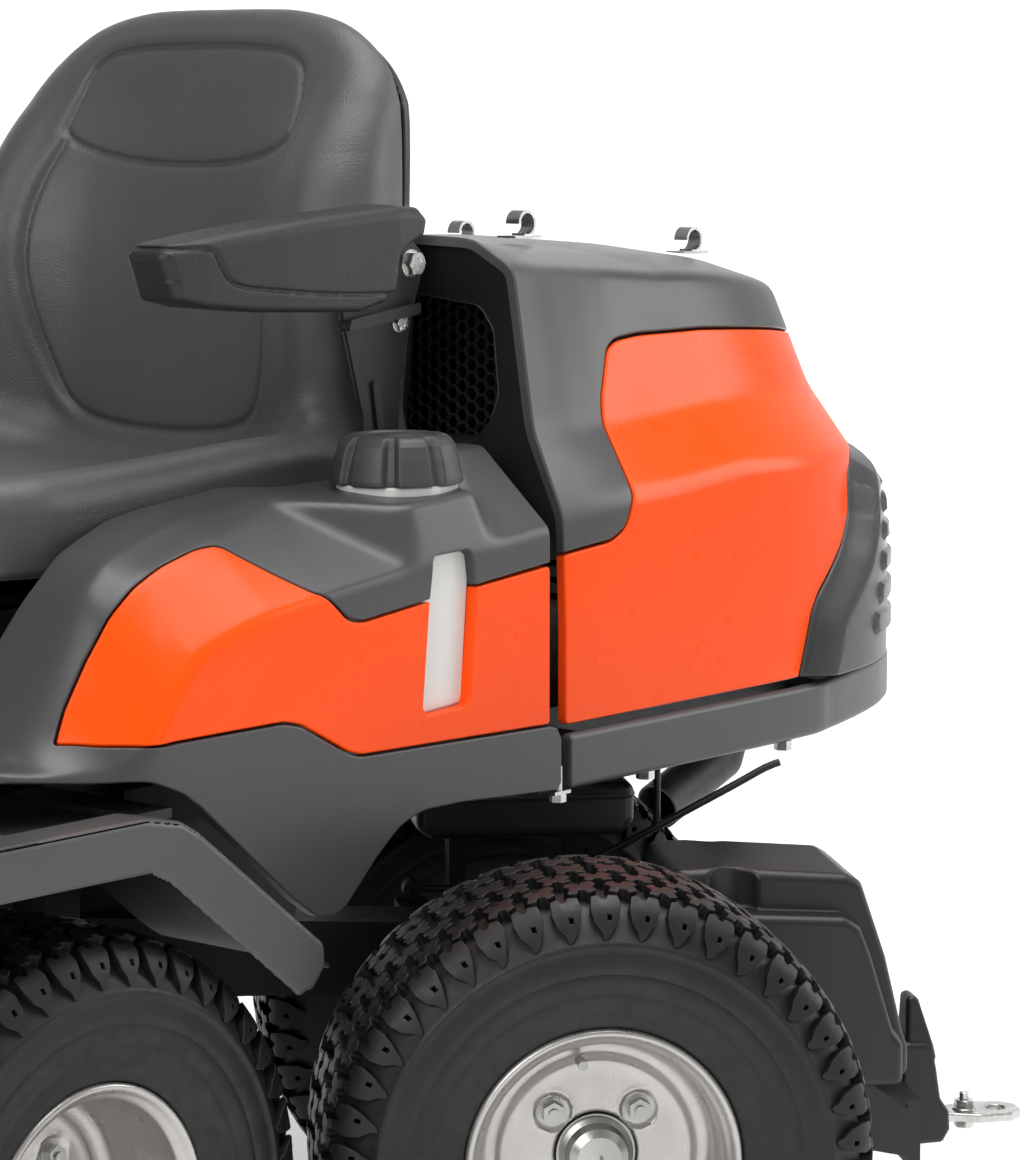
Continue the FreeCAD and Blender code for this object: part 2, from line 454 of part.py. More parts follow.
# ---------------------------------------------------------------- bumper band
bp = [(592, -395), (930, -395), (1010, -381), (1115, -348), (1224, -296), (1280, -220), (1304, -110), (1308, 0)]
bp_full = bp + [(x, -y) for x, y in reversed(bp[:-1])]
bp_c = bp_full + [(592, 300), (592, -300)]
outb = pxy(bp_full, 490, 540)
def ring_inner(t):
    q = [(x, y) for x, y in inset(bp_full, t)]
    return [(500, -395 + t)] + q[1:-1] + [(500, 395 - t)]
band = outb.cut(pxy(ring_inner(4), 480, 536.5)).cut(pxy(ring_inner(11), 480, 560))
band = band.fuse([box(592, -395, 490, 596, -360, 540), box(592, 360, 490, 596, 395, 540)]).removeSplitter()
put("bumper_band", band)

# bolts and hinge rods of the chassis
cb = []
for sg in (-1, 1):
    cb.append(fuse([hexhead((577, sg * 392, 489), (0, 0, -1), 13, 7), cyl(4, (577, sg * 392, 489), (577, sg * 392, 514))]))
    cb.append(box(566, min(sg * 380, sg * 398), 489, 588, max(sg * 380, sg * 398), 492).cut(cyl(4, (577, sg * 392, 480), (577, sg * 392, 520))))
    for bx, by in ((700 + 20, 378), (925, 384), (1120, 322)):
        cb.append(fuse([hexhead((bx, sg * by, 490), (0, 0, -1), 15, 9), cyl(4, (bx, sg * by, 489.9), (bx, sg * by, 497.9))]))
    cb.append(fuse([hexhead((10, sg * 240, 560), (0, 0, 1), 17, 8), cyl(10, (10, sg * 240, 556), (10, sg * 240, 560))]))
cb.append(cyl(HINGE_R, (HINGE_X, -66, HINGE_Z), (HINGE_X, 66, HINGE_Z)))
cb.append(cyl(10.0, (LIFT_X, -165, LIFT_Z), (LIFT_X, 165, LIFT_Z)))
put("chassis_bolts", comp(cb))

# ---------------------------------------------------------------- hood
roof = [(HOOD_X0, 546), (HOOD_X0, 972), (835, 961), (935, 953), (1039, 943), (1148, 932), (1180, 924), (1210, 905), (1240, 880), (1262, 780), (1280, 640), (1282, 546)]
hfront = [(-388, 540), (-388, 738), (-350, 807), (-329, 948), (-280, 978), (280, 978), (329, 948), (350, 807), (388, 738), (388, 540)]
hplan = [(HOOD_X0, -388), (885, -388), (977, -387), (1080, -362), (1170, -318), (1240, -244), (1274, -130), (1282, 0)]
hplan = hplan + [(x, -y) for x, y in reversed(hplan[:-1])]
h_out = pxz(roof, -400, 400).common(pyz(hfront, 560, 1320)).common(pxy(hplan, 500, 1000))
ri = inset(roof, WALL); ri[0] = (HOOD_X0 + 4, 500); ri[-1] = (1278, 500)
fi = inset(hfront, WALL); fi[0] = (-384, 500); fi[-1] = (384, 500)
pi_ = inset(hplan, WALL)
h_in = pxz(ri, -400, 400).common(pyz(fi, 560, 1320)).common(pxy(pi_, 480, 1000))
hshell = h_out.cut(h_in)
# intake opening in the front wall, and the wall's low middle cut away
op = [(-204, 920), (-284, 911), (-299, 891), (-305, 834), (-295, 810), (-276, 791), (276, 791), (295, 810), (305, 834), (299, 891), (284, 911), (204, 920)]
hshell = hshell.cut(pyz(op, 580, 600))
hshell = hshell.cut(pyz([(-340, 500), (-340, 700), (340, 700), (340, 500)], 580, 600))
# tunnel from the front wall to the grille
tun = pyz(op, 596, 622).cut(pyz(inset(op, 3), 590, 630))
hshell = hshell.fuse(tun.cut(pyz(op, 590, 596))).removeSplitter()
# ears on the hinge rod, and notches for the brackets
for sg in (-1, 1):
    y0, y1 = sorted((sg * 43, sg * 49))
    ear = pxz([(1252, 551), (1256, 548), (1281, 548), (1281, 640), (1266, 640), (1252, 575)], y0, y1).common(h_out)
    hshell = hshell.fuse(ear)
    y0, y1 = sorted((sg * 50.5, sg * 61.5))
    hshell = hshell.cut(box(1240, y0, 530, 1300, y1, 584))
hshell = hshell.cut(cyl(HINGE_R + 0.06, (HINGE_X, -70, HINGE_Z), (HINGE_X, 70, HINGE_Z))).removeSplitter()
# orange panels
pan_r = [(HOOD_X0 - 2, 540), (HOOD_X0 - 2, 700), (663, 705), (679, 716), (690, 733), (688, 746), (716, 798), (712, 810), (720, 856), (723, 865), (737, 875), (779, 881),
         (905, 878), (1054, 871), (1095, 825), (1078, 729), (1078, 700), (1067, 676), (1028, 633), (1017, 615), (960, 540)]
reg = pxz(pan_r, -400, -160)
hp_l = hshell.common(reg)
hp_l = sorted(hp_l.Solids, key=lambda s: -s.Volume)[0]
vent_r = [(960, 540), (1017, 615), (1028, 633), (1067, 676), (1078, 700), (1078, 729), (1095, 825), (1054, 871), (1300, 871), (1300, 540)]
vreg = pxz(vent_r, -400, 400)
vent = hshell.common(vreg)
put("hood_panels", comp([hp_l, mirror_y(hp_l)]))
put("hood_vent", sorted(vent.Solids, key=lambda s: -s.Volume)[0])
hs = hshell.cut(reg).cut(mirror_y(reg)).cut(vreg)
put("hood_shell", sorted(hs.Solids, key=lambda s: -s.Volume)[0])
gr = pyz(op, 622, 628)
for k in range(9):
    for j in range(-10, 10):
        y = j * 27 + 3
        if abs(y + 12) > 270:
            continue
        gr = gr.cut(box(610, y, 800 + 13 * k, 640, y + 21, 808 + 13 * k))
put("hood_grille", gr)
hooks = []
for hx, z0 in ((816, 961.9), (1079, 938.9)):
    for hy in (-150, 150):
        base = box(hx - 20, hy - 11, z0 + 0.0, hx + 20, hy + 11, z0 + 3.0)
        loop = cyl(13, (hx + 2, hy - 8, z0 + 14), (hx + 2, hy + 8, z0 + 14)).cut(cyl(10, (hx + 2, hy - 9, z0 + 14), (hx + 2, hy + 9, z0 + 14)))
        loop = loop.cut(box(hx - 30, hy - 10, z0 - 20, hx - 2, hy + 10, z0 + 14))
        loop = loop.cut(box(hx - 40, hy - 12, z0 - 30, hx + 40, hy + 12, z0 + 2.9))
        hooks.append(sorted(fuse([base, loop]).cut(h_out).Solids, key=lambda s: -s.Volume)[0])
put("cargo_hooks", comp(hooks))

# ---------------------------------------------------------------- controls
def pedal(y0, y1, xp, ypiv):
    pad = pxz([(-452, 372), (-450, 378), (-372, 366), (-372, 360)], y0, y1)
    arm_ = pxz([(-420, 364), (-400, 372), (-318, 352), (-312, 338), (-324, 332)], (y0 + y1) / 2 - 5, (y0 + y1) / 2 + 5)
    s0, s1 = sorted((ypiv, (y0 + y1) / 2))
    return fuse([pad, arm_, cyl(8, (-320, s0, 344), (-320, s1 + (5 if s1 > 0 else 0), 344))])
put("drive_pedal", pedal(170, 250, -320, 97))
put("brake_pedal", mirror_y(pedal(170, 250, -320, 97)))
put("lift_lever", fuse([cyl(9, (-200, 97, 500), (-200, 125, 500)), pxz([(-206, 494), (-194, 494), (-120, 680), (-132, 684)], 112, 122), cyl(14, (-128, 117, 676), (-110, 117, 726)),
                        Part.makeSphere(14, V(-110, 117, 726))]))
put("throttle_lever", fuse([cyl(7, (-302, -96.5, 640), (-302, -110, 640)), box(-306, -108, 636, -298, -102, 690), cyl(9, (-302, -99, 690), (-302, -121, 690))]))

# ---------------------------------------------------------------- mower deck
dp = [(DECK_X0, -420), (DECK_X0 + 60, -DECK_HY), (DECK_X1 - 90, -DECK_HY), (DECK_X1, -430), (DECK_X1, 430), (DECK_X1 - 90, DECK_HY), (DECK_X0 + 60, DECK_HY), (DECK_X0, 420)]
deck = pxy(dp, 50, 170).cut(pxy(inset(dp, 4), 40, 166))
deck = fuse([deck, box(DECK_X0, -60, 100, DECK_X0 + 4, 60, 166)])
for sg in (-1, 1):
    deck = deck.fuse(fuse([cyl(46, (DECK_CX, sg * BLADE_Y, 170), (DECK_CX, sg * BLADE_Y, 182)),
                           box(-472, min(sg * 116, sg * 110), 170, -400, max(sg * 116, sg * 110), 232),
                           box(-472, min(sg * 142, sg * 148), 170, -400, max(sg * 142, sg * 148), 232)]))
    deck = deck.cut(cyl(15.05, (DECK_CX, sg * BLADE_Y, 100), (DECK_CX, sg * BLADE_Y, 300)))
    # wheel forks at the front corners
    for yy in (352, 404):
        fork = pxz([(-804, 150), (-800, 80), (-876, 48), (-890, 60), (-884, 80)], min(sg * yy, sg * (yy + 6)), max(sg * yy, sg * (yy + 6)))
        deck = deck.fuse(fork)
    deck = deck.cut(cyl(8.0, (-872, min(sg * 340, sg * 420), 60), (-872, max(sg * 340, sg * 420), 60)))
deck = deck.removeSplitter()
put("deck_shell", sorted(deck.Solids, key=lambda s: -s.Volume)[0])
dc = pxy([(-640, -400), (-420, -400), (-420, 400), (-640, 400)], 170, 206).cut(pxy([(-637, -397), (-423, -397), (-423, 397), (-637, 397)], 160, 203))
dc = dc.cut(box(-480, -156, 160, -380, 156, 240))
dc = sorted(dc.Solids, key=lambda s: -s.Volume)[0]
put("deck_cover", dc)
for nm, sg in (("left", -1), ("right", 1)):
    y = sg * BLADE_Y
    bl = fuse([box(DECK_CX - 25, y - BLADE_R, 78, DECK_CX + 25, y + BLADE_R, 82), cyl(28, (DECK_CX, y, 82), (DECK_CX, y, 100)), cyl(15, (DECK_CX, y, 70), (DECK_CX, y, 198)),
               revolve([(184, 15), (184, 62), (186, 62), (190, 54), (194, 62), (196, 62), (196, 15)], (DECK_CX, y, 0), (0, 0, 1))])
    wing = pxz([(DECK_CX - 25, 82), (DECK_CX - 25, 79), (DECK_CX - 34, 92), (DECK_CX - 33, 95)], y + BLADE_R - 110, y + BLADE_R)
    wing2 = pxz([(DECK_CX + 25, 82), (DECK_CX + 25, 79), (DECK_CX + 34, 92), (DECK_CX + 33, 95)], y - BLADE_R, y - BLADE_R + 110)
    bl = fuse([bl, wing, wing2]).common(cyl(BLADE_R, (DECK_CX, y, 0), (DECK_CX, y, 300)))
    if sg > 0:
        bl.rotate(V(DECK_CX, y, 0), V(0, 0, 1), 90)
    put("blade_" + nm, bl)
    dw = revolve([(-22, 60 - 4), (-18, 60), (18, 60), (22, 60 - 4), (22, 30), (20, 16), (23, 14), (23, 8.06), (-23, 8.06), (-23, 14), (-20, 16), (-22, 30)], (-872, sg * 381, 60), (0, 1, 0))
    put("deck_wheel_" + nm, dw)
lf = []
for sg in (-1, 1):
    y0, y1 = sorted((sg * 130.5, sg * 141.5))
    lf.append(fuse([pxz([(-160, 200), (-138, 205), (-136, 225), (-160, 232), (-300, 226), (-436, 226), (-452, 216), (-436, 198), (-300, 200)], y0, y1)]).cut(
        cyl(10.05, (LIFT_X, -200, LIFT_Z), (LIFT_X, 200, LIFT_Z))))
    lf.append(cyl(7, (-436, sg * 110, 212), (-436, sg * 148, 212)))
    lf.append(cyl(8.0, (-872, min(sg * 350, sg * 414), 60), (-872, max(sg * 350, sg * 414), 60)))
lf.append(box(-330, -130.5, 204, -306, 130.5, 222))
arms = fuse([lf[0], lf[3], lf[6]])
pins = [lf[1], lf[2], lf[4], lf[5]]
arms = arms.cut(Part.makeCompound([lf[1], lf[4]]))
put("lift_frame", comp([arms] + pins))
dsh = NODES["deck_shell"].cut(Part.makeCompound([lf[1], lf[4]]))
NODES["deck_shell"] = sorted(dsh.Solids, key=lambda s: -s.Volume)[0]

# ---------------------------------------------------------------- common shift and export
lo = [1e9] * 3
hi = [-1e9] * 3
for nm, s in NODES.items():
    b = s.optimalBoundingBox(False, False) if hasattr(s, "optimalBoundingBox") else s.BoundBox
    lo = [min(lo[0], b.XMin), min(lo[1], b.YMin), min(lo[2], b.ZMin)]
    hi = [max(hi[0], b.XMax), max(hi[1], b.YMax), max(hi[2], b.ZMax)]
SHIFT = V(-(lo[0] + hi[0]) / 2, -(lo[1] + hi[1]) / 2, -lo[2])
print("box before shift", [round(v, 2) for v in lo], [round(v, 2) for v in hi])
print("shift", round(SHIFT.x, 4), round(SHIFT.y, 4), round(SHIFT.z, 4))
for nm, s in NODES.items():
    c = s.copy()
    c.translate(SHIFT)
    if not c.isValid():
        print("INVALID", nm)
    print(nm, "solids", len(c.Solids), "vol_cm3", round(c.Volume / 1000, 1))
    c.exportStep("parts/" + nm + ".step")
print("nodes", len(NODES))
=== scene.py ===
import bpy, bmesh, mathutils
import math, json
import numpy as np
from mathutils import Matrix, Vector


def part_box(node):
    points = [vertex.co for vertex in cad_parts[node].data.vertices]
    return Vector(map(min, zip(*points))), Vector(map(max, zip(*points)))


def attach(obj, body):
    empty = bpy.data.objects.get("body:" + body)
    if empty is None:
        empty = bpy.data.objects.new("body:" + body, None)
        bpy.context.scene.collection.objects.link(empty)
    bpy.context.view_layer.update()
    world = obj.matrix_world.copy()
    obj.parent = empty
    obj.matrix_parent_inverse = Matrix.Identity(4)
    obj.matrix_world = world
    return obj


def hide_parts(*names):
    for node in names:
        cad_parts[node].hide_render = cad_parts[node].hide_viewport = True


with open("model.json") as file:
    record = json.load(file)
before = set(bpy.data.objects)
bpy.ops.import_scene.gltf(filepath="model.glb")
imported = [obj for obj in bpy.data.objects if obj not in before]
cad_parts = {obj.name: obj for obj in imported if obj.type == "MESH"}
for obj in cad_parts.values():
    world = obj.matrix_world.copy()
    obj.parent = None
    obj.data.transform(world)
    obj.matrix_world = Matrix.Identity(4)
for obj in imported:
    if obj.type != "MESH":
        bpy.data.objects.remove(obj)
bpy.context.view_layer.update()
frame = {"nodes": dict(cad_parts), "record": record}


# The drawing frame used below: mm, X rearwards from the front axle, machine faces -X, left side -Y,
# Z=0 the ground.  The articulation pin stands at (279.7, 0) in it.
_lo, _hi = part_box("pivot_pin")
OX = (_lo[0] + _hi[0]) / 2 * 1000 - 279.7
OY = (_lo[1] + _hi[1]) / 2 * 1000
PIVOT_X, LOCK = 279.7, math.radians(-41.7)
RX = PIVOT_X + 476.8


def steer_pts(V):
    V = np.asarray(V, float).copy()
    x, y = V[:, 0] - PIVOT_X, V[:, 1].copy()
    c, s = math.cos(LOCK), math.sin(LOCK)
    V[:, 0] = PIVOT_X + c * x - s * y
    V[:, 1] = s * x + c * y
    return V


def steered(part):
    V, F, N = part
    if N is not None:
        c, s = math.cos(LOCK), math.sin(LOCK)
        R = np.array([[c, -s, 0], [s, c, 0], [0, 0, 1]])
        N = N @ R.T
    return steer_pts(V), F, N


def make(name, part, mat, body=None, node=None, smooth=None, sharp=None):
    """Mesh object from (verts in mm of the drawing frame, faces, normals or None)."""
    V, F, N = part
    V = np.asarray(V, float)
    W = np.empty_like(V)
    W[:, 0] = (V[:, 0] + OX) / 1000
    W[:, 1] = (V[:, 1] + OY) / 1000
    W[:, 2] = V[:, 2] / 1000
    me = bpy.data.meshes.new(name)
    me.from_pydata([tuple(p) for p in W], [], [tuple(f) for f in F])
    me.update()
    ob = bpy.data.objects.new(name, me)
    bpy.context.scene.collection.objects.link(ob)
    mats = mat if isinstance(mat, (list, tuple)) else [mat]
    for m in mats:
        me.materials.append(m)
    me.polygons.foreach_set("use_smooth", [True] * len(me.polygons))
    if N is not None:
        me.normals_split_custom_set_from_vertices([tuple(n) for n in N])
    elif sharp is not None:
        me.set_sharp_from_angle(angle=math.radians(sharp))
    if body:
        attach(ob, body)
    if node:
        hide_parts(*([node] if isinstance(node, str) else node))
    return ob
# ------------------------------------------------------------------ surfaces
# A Surf is a regular table of points.  Panels are cut from it along outlines given in its own
# parameters, get a rounded rim and a real thickness, and carry the surface's own normals.


def gauss(P, sig, axis):
    # smooth a table along one axis, with its ends held
    if sig <= 0:
        return P
    r = int(max(1, math.ceil(sig * 3)))
    k = np.exp(-0.5 * (np.arange(-r, r + 1) / sig) ** 2)
    k /= k.sum()
    Q = np.moveaxis(P, axis, 0)
    first = 2 * Q[:1] - Q[1:r + 1][::-1] if Q.shape[0] > r else np.repeat(Q[:1], r, 0)
    last = 2 * Q[-1:] - Q[-r - 1:-1][::-1] if Q.shape[0] > r else np.repeat(Q[-1:], r, 0)
    E = np.concatenate([first, Q, last], 0)
    out = np.zeros_like(Q)
    for i, w in enumerate(k):
        out += w * E[i:i + Q.shape[0]]
    return np.moveaxis(out, 0, axis)


class Surf:
    def __init__(self, P, su, sv, flip=False):
        # P[i, j] at parameters (i*su, j*sv)
        self.P = np.asarray(P, float)
        self.su, self.sv = su, sv
        gu = np.gradient(self.P, axis=0)
        gv = np.gradient(self.P, axis=1)
        n = np.cross(gu, gv)
        n /= np.maximum(np.linalg.norm(n, axis=2, keepdims=True), 1e-9)
        if flip:
            n = -n
        self.N = n
        self.flip = flip

    def _bil(self, T, u, v):
        a = np.clip(np.asarray(u, float) / self.su, 0, self.P.shape[0] - 1.0001)
        b = np.clip(np.asarray(v, float) / self.sv, 0, self.P.shape[1] - 1.0001)
        i, j = a.astype(int), b.astype(int)
        fa, fb = (a - i)[..., None], (b - j)[..., None]
        return (T[i, j] * (1 - fa) * (1 - fb) + T[i + 1, j] * fa * (1 - fb) + T[i, j + 1] * (1 - fa) * fb + T[i + 1, j + 1] * fa * fb)

    def at(self, u, v):
        return self._bil(self.P, u, v)

    def nrm(self, u, v):
        n = self._bil(self.N, u, v)
        return n / np.maximum(np.linalg.norm(n, axis=-1, keepdims=True), 1e-9)


def lerp_rows(xs, rows, x):
    # rows[k][i]: value of key k at station i; piecewise linear along the stations
    rows = np.asarray(rows, float)
    out = np.empty((len(x),) + rows.shape[1:] if rows.ndim > 1 else (len(x),))
    if rows.ndim == 1:
        return np.interp(x, xs, rows)
    flat = rows.reshape(rows.shape[0], -1)
    o = np.stack([np.interp(x, xs, flat[:, c]) for c in range(flat.shape[1])], 1)
    return o.reshape((len(x),) + rows.shape[1:])


def poly_area(p):
    p = np.asarray(p)
    x, y = p[:, 0], p[:, 1]
    return 0.5 * np.sum(x * np.roll(y, -1) - np.roll(x, -1) * y)


def round_poly(pts, rad, seg=6):
    # fillet the corners of a closed polygon; rad is one number or one per corner
    n = len(pts)
    rads = [rad] * n if not isinstance(rad, (list, tuple)) else list(rad)
    out = []
    P = [np.array(p[:2], float) for p in pts]
    for i in range(n):
        a, b, c = P[i - 1], P[i], P[(i + 1) % n]
        d1, d2 = a - b, c - b
        l1, l2 = np.linalg.norm(d1), np.linalg.norm(d2)
        if l1 < 1e-9 or l2 < 1e-9:
            continue
        d1, d2 = d1 / l1, d2 / l2
        cosang = float(np.clip(d1 @ d2, -1, 1))
        ang = math.acos(cosang)
        if rads[i] <= 0 or ang > math.radians(178):
            out.append(b)
            continue
        t = min(rads[i] / math.tan(ang / 2), 0.48 * l1, 0.48 * l2)
        r = t * math.tan(ang / 2)
        p1, p2 = b + d1 * t, b + d2 * t
        m = (d1 + d2)
        m /= np.linalg.norm(m)
        cc = b + m * (r / math.sin(ang / 2))
        a1 = math.atan2(*(p1 - cc)[::-1])
        a2 = math.atan2(*(p2 - cc)[::-1])
        da = (a2 - a1 + math.pi) % (2 * math.pi) - math.pi
        k = max(2, int(seg * abs(da) / 1.57) + 1)
        for q in range(k + 1):
            th = a1 + da * q / k
            out.append(cc + r * np.array([math.cos(th), math.sin(th)]))
    return np.array(out)


def resample(poly, step, closed=True):
    P = np.asarray(poly, float)
    n = len(P)
    out = []
    for i in range(n if closed else n - 1):
        a, b = P[i], P[(i + 1) % n]
        L = np.linalg.norm(b - a)
        k = max(1, int(math.ceil(L / step)))
        for q in range(k):
            out.append(a + (b - a) * q / k)
    if not closed:
        out.append(P[-1])
    # drop near-coincident points
    res = [out[0]]
    for p in out[1:]:
        if np.linalg.norm(p - res[-1]) > step * 0.12:
            res.append(p)
    if closed and np.linalg.norm(res[-1] - res[0]) < step * 0.12:
        res.pop()
    return np.array(res)


def offset_loop(P, d):
    # move a counter-clockwise loop inwards by d
    a = np.roll(P, 1, 0)
    b = np.roll(P, -1, 0)
    t1 = P - a
    t2 = b - P
    t1 /= np.maximum(np.linalg.norm(t1, axis=1, keepdims=True), 1e-9)
    t2 /= np.maximum(np.linalg.norm(t2, axis=1, keepdims=True), 1e-9)
    n1 = np.stack([-t1[:, 1], t1[:, 0]], 1)
    n2 = np.stack([-t2[:, 1], t2[:, 0]], 1)
    m = n1 + n2
    l = np.maximum(np.linalg.norm(m, axis=1, keepdims=True), 0.35)
    m = m / l
    k = 1.0 / np.maximum((m * n1).sum(1, keepdims=True), 0.5)
    return P + m * k * d, -m


def inside(poly, pts):
    x, y = pts[:, 0], pts[:, 1]
    res = np.zeros(len(pts), bool)
    n = len(poly)
    for i in range(n):
        x1, y1 = poly[i]
        x2, y2 = poly[(i + 1) % n]
        c = ((y1 > y) != (y2 > y))
        with np.errstate(divide="ignore", invalid="ignore"):
            xi = (x2 - x1) * (y - y1) / (y2 - y1) + x1
        res ^= c & (x < xi)
    return res


def dist_poly(poly, pts, closed=True):
    # distance of points to the edges of a polyline
    best = np.full(len(pts), 1e9)
    n = len(poly)
    for i in range(n if closed else n - 1):
        a, b = poly[i], poly[(i + 1) % n]
        ab = b - a
        L2 = max(float(ab @ ab), 1e-12)
        t = np.clip(((pts - a) @ ab) / L2, 0, 1)
        d = np.linalg.norm(pts - (a + t[:, None] * ab), axis=1)
        best = np.minimum(best, d)
    return best


def cdt_fill(loops, interior):
    # triangles inside loops[0] and outside the other loops
    pts = [tuple(p) for p in np.concatenate(loops)]
    edges = []
    s = 0
    for L in loops:
        n = len(L)
        edges += [(s + i, s + (i + 1) % n) for i in range(n)]
        s += n
    nb = len(pts)
    pts += [tuple(p) for p in interior]
    vo, eo, fo, ov, oe, of = mathutils.geometry.delaunay_2d_cdt([mathutils.Vector(p) for p in pts], edges, [], 0, 1e-5)
    vo = np.array([(v.x, v.y) for v in vo])
    back = [o[0] if len(o) else -1 for o in ov]
    tri = np.array([f for f in fo if len(f) == 3], int)
    c = vo[tri].mean(1)
    keep = inside(loops[0], c)
    for L in loops[1:]:
        keep &= ~inside(L, c)
    tri = tri[keep]
    # counter-clockwise
    a, b, d = vo[tri[:, 0]], vo[tri[:, 1]], vo[tri[:, 2]]
    cr = (b[:, 0] - a[:, 0]) * (d[:, 1] - a[:, 1]) - (b[:, 1] - a[:, 1]) * (d[:, 0] - a[:, 0])
    tri[cr < 0] = tri[cr < 0][:, ::-1]
    tri = tri[np.abs(cr) > 1e-7]
    return vo, back, tri


def panel(surf, outline, T=5.0, r=1.8, g=7.0, step=4.0, holes=(), wall=None, lift=None, cut=None, gap=0.0):
    """Closed solid cut from a surface: rounded rim of radius r, thickness T; returns verts, faces, normals.
    cut marks outline points on the mirror plane, where the two halves are joined."""
    loops_in = []
    V, N, F = [], [], []
    wall = T if wall is None else wall

    def push(p, n):
        s = len(V)
        V.extend(p)
        N.extend(n)
        return list(range(s, s + len(p)))
    inner_loops, base_rows = [], []
    fl = -1.0 if surf.flip else 1.0
    for li, ol in enumerate([outline] + list(holes)):
        L = resample(ol, step)
        if (poly_area(L) > 0) != (li == 0):
            L = L[::-1]
        on = cut(L) if cut is not None and li == 0 else np.zeros(len(L), bool)
        mid = on & np.roll(on, 1) & np.roll(on, -1)
        if gap:
            G, _ = offset_loop(L, gap)
            L = np.where(on[:, None], L, G)
        rows = []
        for th in (0, 30, 60, 90):
            d = r * (1 - math.cos(math.radians(th)))
            dep = r * (1 - math.sin(math.radians(th)))
            Q, out = offset_loop(L, d)
            Q = np.where(mid[:, None], L, Q)
            dep = np.where(mid, 0.0, dep)[:, None]
            p = surf.at(Q[:, 0], Q[:, 1])
            n = surf.nrm(Q[:, 0], Q[:, 1])
            e = 0.5
            po = surf.at(L[:, 0] + out[:, 0] * e, L[:, 1] + out[:, 1] * e)
            pi = surf.at(L[:, 0] - out[:, 0] * e, L[:, 1] - out[:, 1] * e)
            o3 = po - pi
            o3 -= n * (o3 * n).sum(1, keepdims=True)
            o3 /= np.maximum(np.linalg.norm(o3, axis=1, keepdims=True), 1e-9)
            if lift is not None:
                p = p + n * lift(Q)[:, None]
            nn = n * math.sin(math.radians(th)) + o3 * math.cos(math.radians(th))
            nn = np.where(mid[:, None], n, nn)
            rows.append(push(p - n * dep, nn))
            if th == 0:
                deep = push(p - n * wall, o3)
                back_row = (L, p, n)
        m = len(L)
        seq = [deep] + rows
        for a, b in zip(seq[:-1], seq[1:]):
            for i in range(m):
                j = (i + 1) % m
                F.append((a[i], a[j], b[j], b[i]))
        inner_loops.append((Q, rows[-1], deep))
    outer = inner_loops[0][0]
    lo, hi = outer.min(0), outer.max(0)
    gx = np.arange(lo[0], hi[0] + g, g)
    gy = np.arange(lo[1], hi[1] + g, g * 0.866)
    A, B = np.meshgrid(gx, gy, indexing="ij")
    A = A + (np.arange(B.shape[1]) % 2)[None, :] * g * 0.5
    pts = np.stack([A.ravel(), B.ravel()], 1)
    ok = inside(outer, pts)
    for Q, _, _ in inner_loops[1:]:
        ok &= ~inside(Q, pts)
    pts = pts[ok]
    for Q, _, _ in inner_loops:
        pts = pts[dist_poly(Q, pts) > g * 0.55]
    vo, back, tri = cdt_fill([q for q, _, _ in inner_loops], pts)
    nb = sum(len(q) for q, _, _ in inner_loops)
    lut_top, lut_bot = [0] * len(vo), [0] * len(vo)
    rim_ids = [i for _, a, _ in inner_loops for i in a]
    deep_ids = [i for _, _, a in inner_loops for i in a]
    pu, pv = vo[:, 0], vo[:, 1]
    p = surf.at(pu, pv)
    n = surf.nrm(pu, pv)
    if lift is not None:
        p = p + n * lift(vo)[:, None]
    free = [k for k in range(len(vo)) if not (0 <= back[k] < nb)]
    tops = push(p[free], n[free])
    bots = push(p[free] - n[free] * wall, -n[free])
    for q, k in enumerate(free):
        lut_top[k], lut_bot[k] = tops[q], bots[q]
    for k in range(len(vo)):
        if 0 <= back[k] < nb:
            lut_top[k], lut_bot[k] = rim_ids[back[k]], deep_ids[back[k]]
    for t in tri:
        F.append((lut_top[t[0]], lut_top[t[1]], lut_top[t[2]]))
        F.append((lut_bot[t[2]], lut_bot[t[1]], lut_bot[t[0]]))
    V, N = np.array(V), np.array(N)
    if fl < 0:
        F = [f[::-1] for f in F]
    return V, F, N


def mirror_join(part, eps=0.02):
    """Close a half part across y = 0 with its mirror image."""
    V, F, N = part
    V = V.copy()
    V[np.abs(V[:, 1]) < 0.6, 1] = 0.0
    zero = np.abs(V[:, 1]) < 1e-9
    F = [f for f in F if not all(zero[i] for i in f)]
    V2, F2, N2 = mirrored((V, F, N))
    n = len(V)
    key = {}
    remap = list(range(n))
    for i in range(n):
        k = tuple(np.round(V[i] / eps).astype(int))
        if k in key:
            remap[i] = key[k]
        else:
            key[k] = i
    rem2 = [remap[i] if zero[i] else n + remap[i] for i in range(n)]
    AV = np.concatenate([V, V2])
    AN = None if N is None else np.concatenate([N, N2])
    if AN is not None:
        z = np.where(zero)[0]
        AN[z, 1] = 0
        l = np.linalg.norm(AN[z], axis=1, keepdims=True)
        AN[z] = AN[z] / np.maximum(l, 1e-9)
    out = []
    for src, rm in ((F, remap), (F2, rem2)):
        for f in src:
            g = [rm[i] for i in f]
            h = [g[i] for i in range(len(g)) if g[i] != g[i - 1]]
            if len(set(h)) >= 3 and len(set(h)) == len(h):
                out.append(tuple(h))
    used = sorted(set(i for f in out for i in f))
    mp = {o: k for k, o in enumerate(used)}
    return AV[used], [tuple(mp[i] for i in f) for f in out], (None if AN is None else AN[used])


def mirrored(part):
    V, F, N = part
    V = V.copy()
    V[:, 1] *= -1
    N = None if N is None else N * np.array([1, -1, 1])
    return V, [f[::-1] for f in F], N


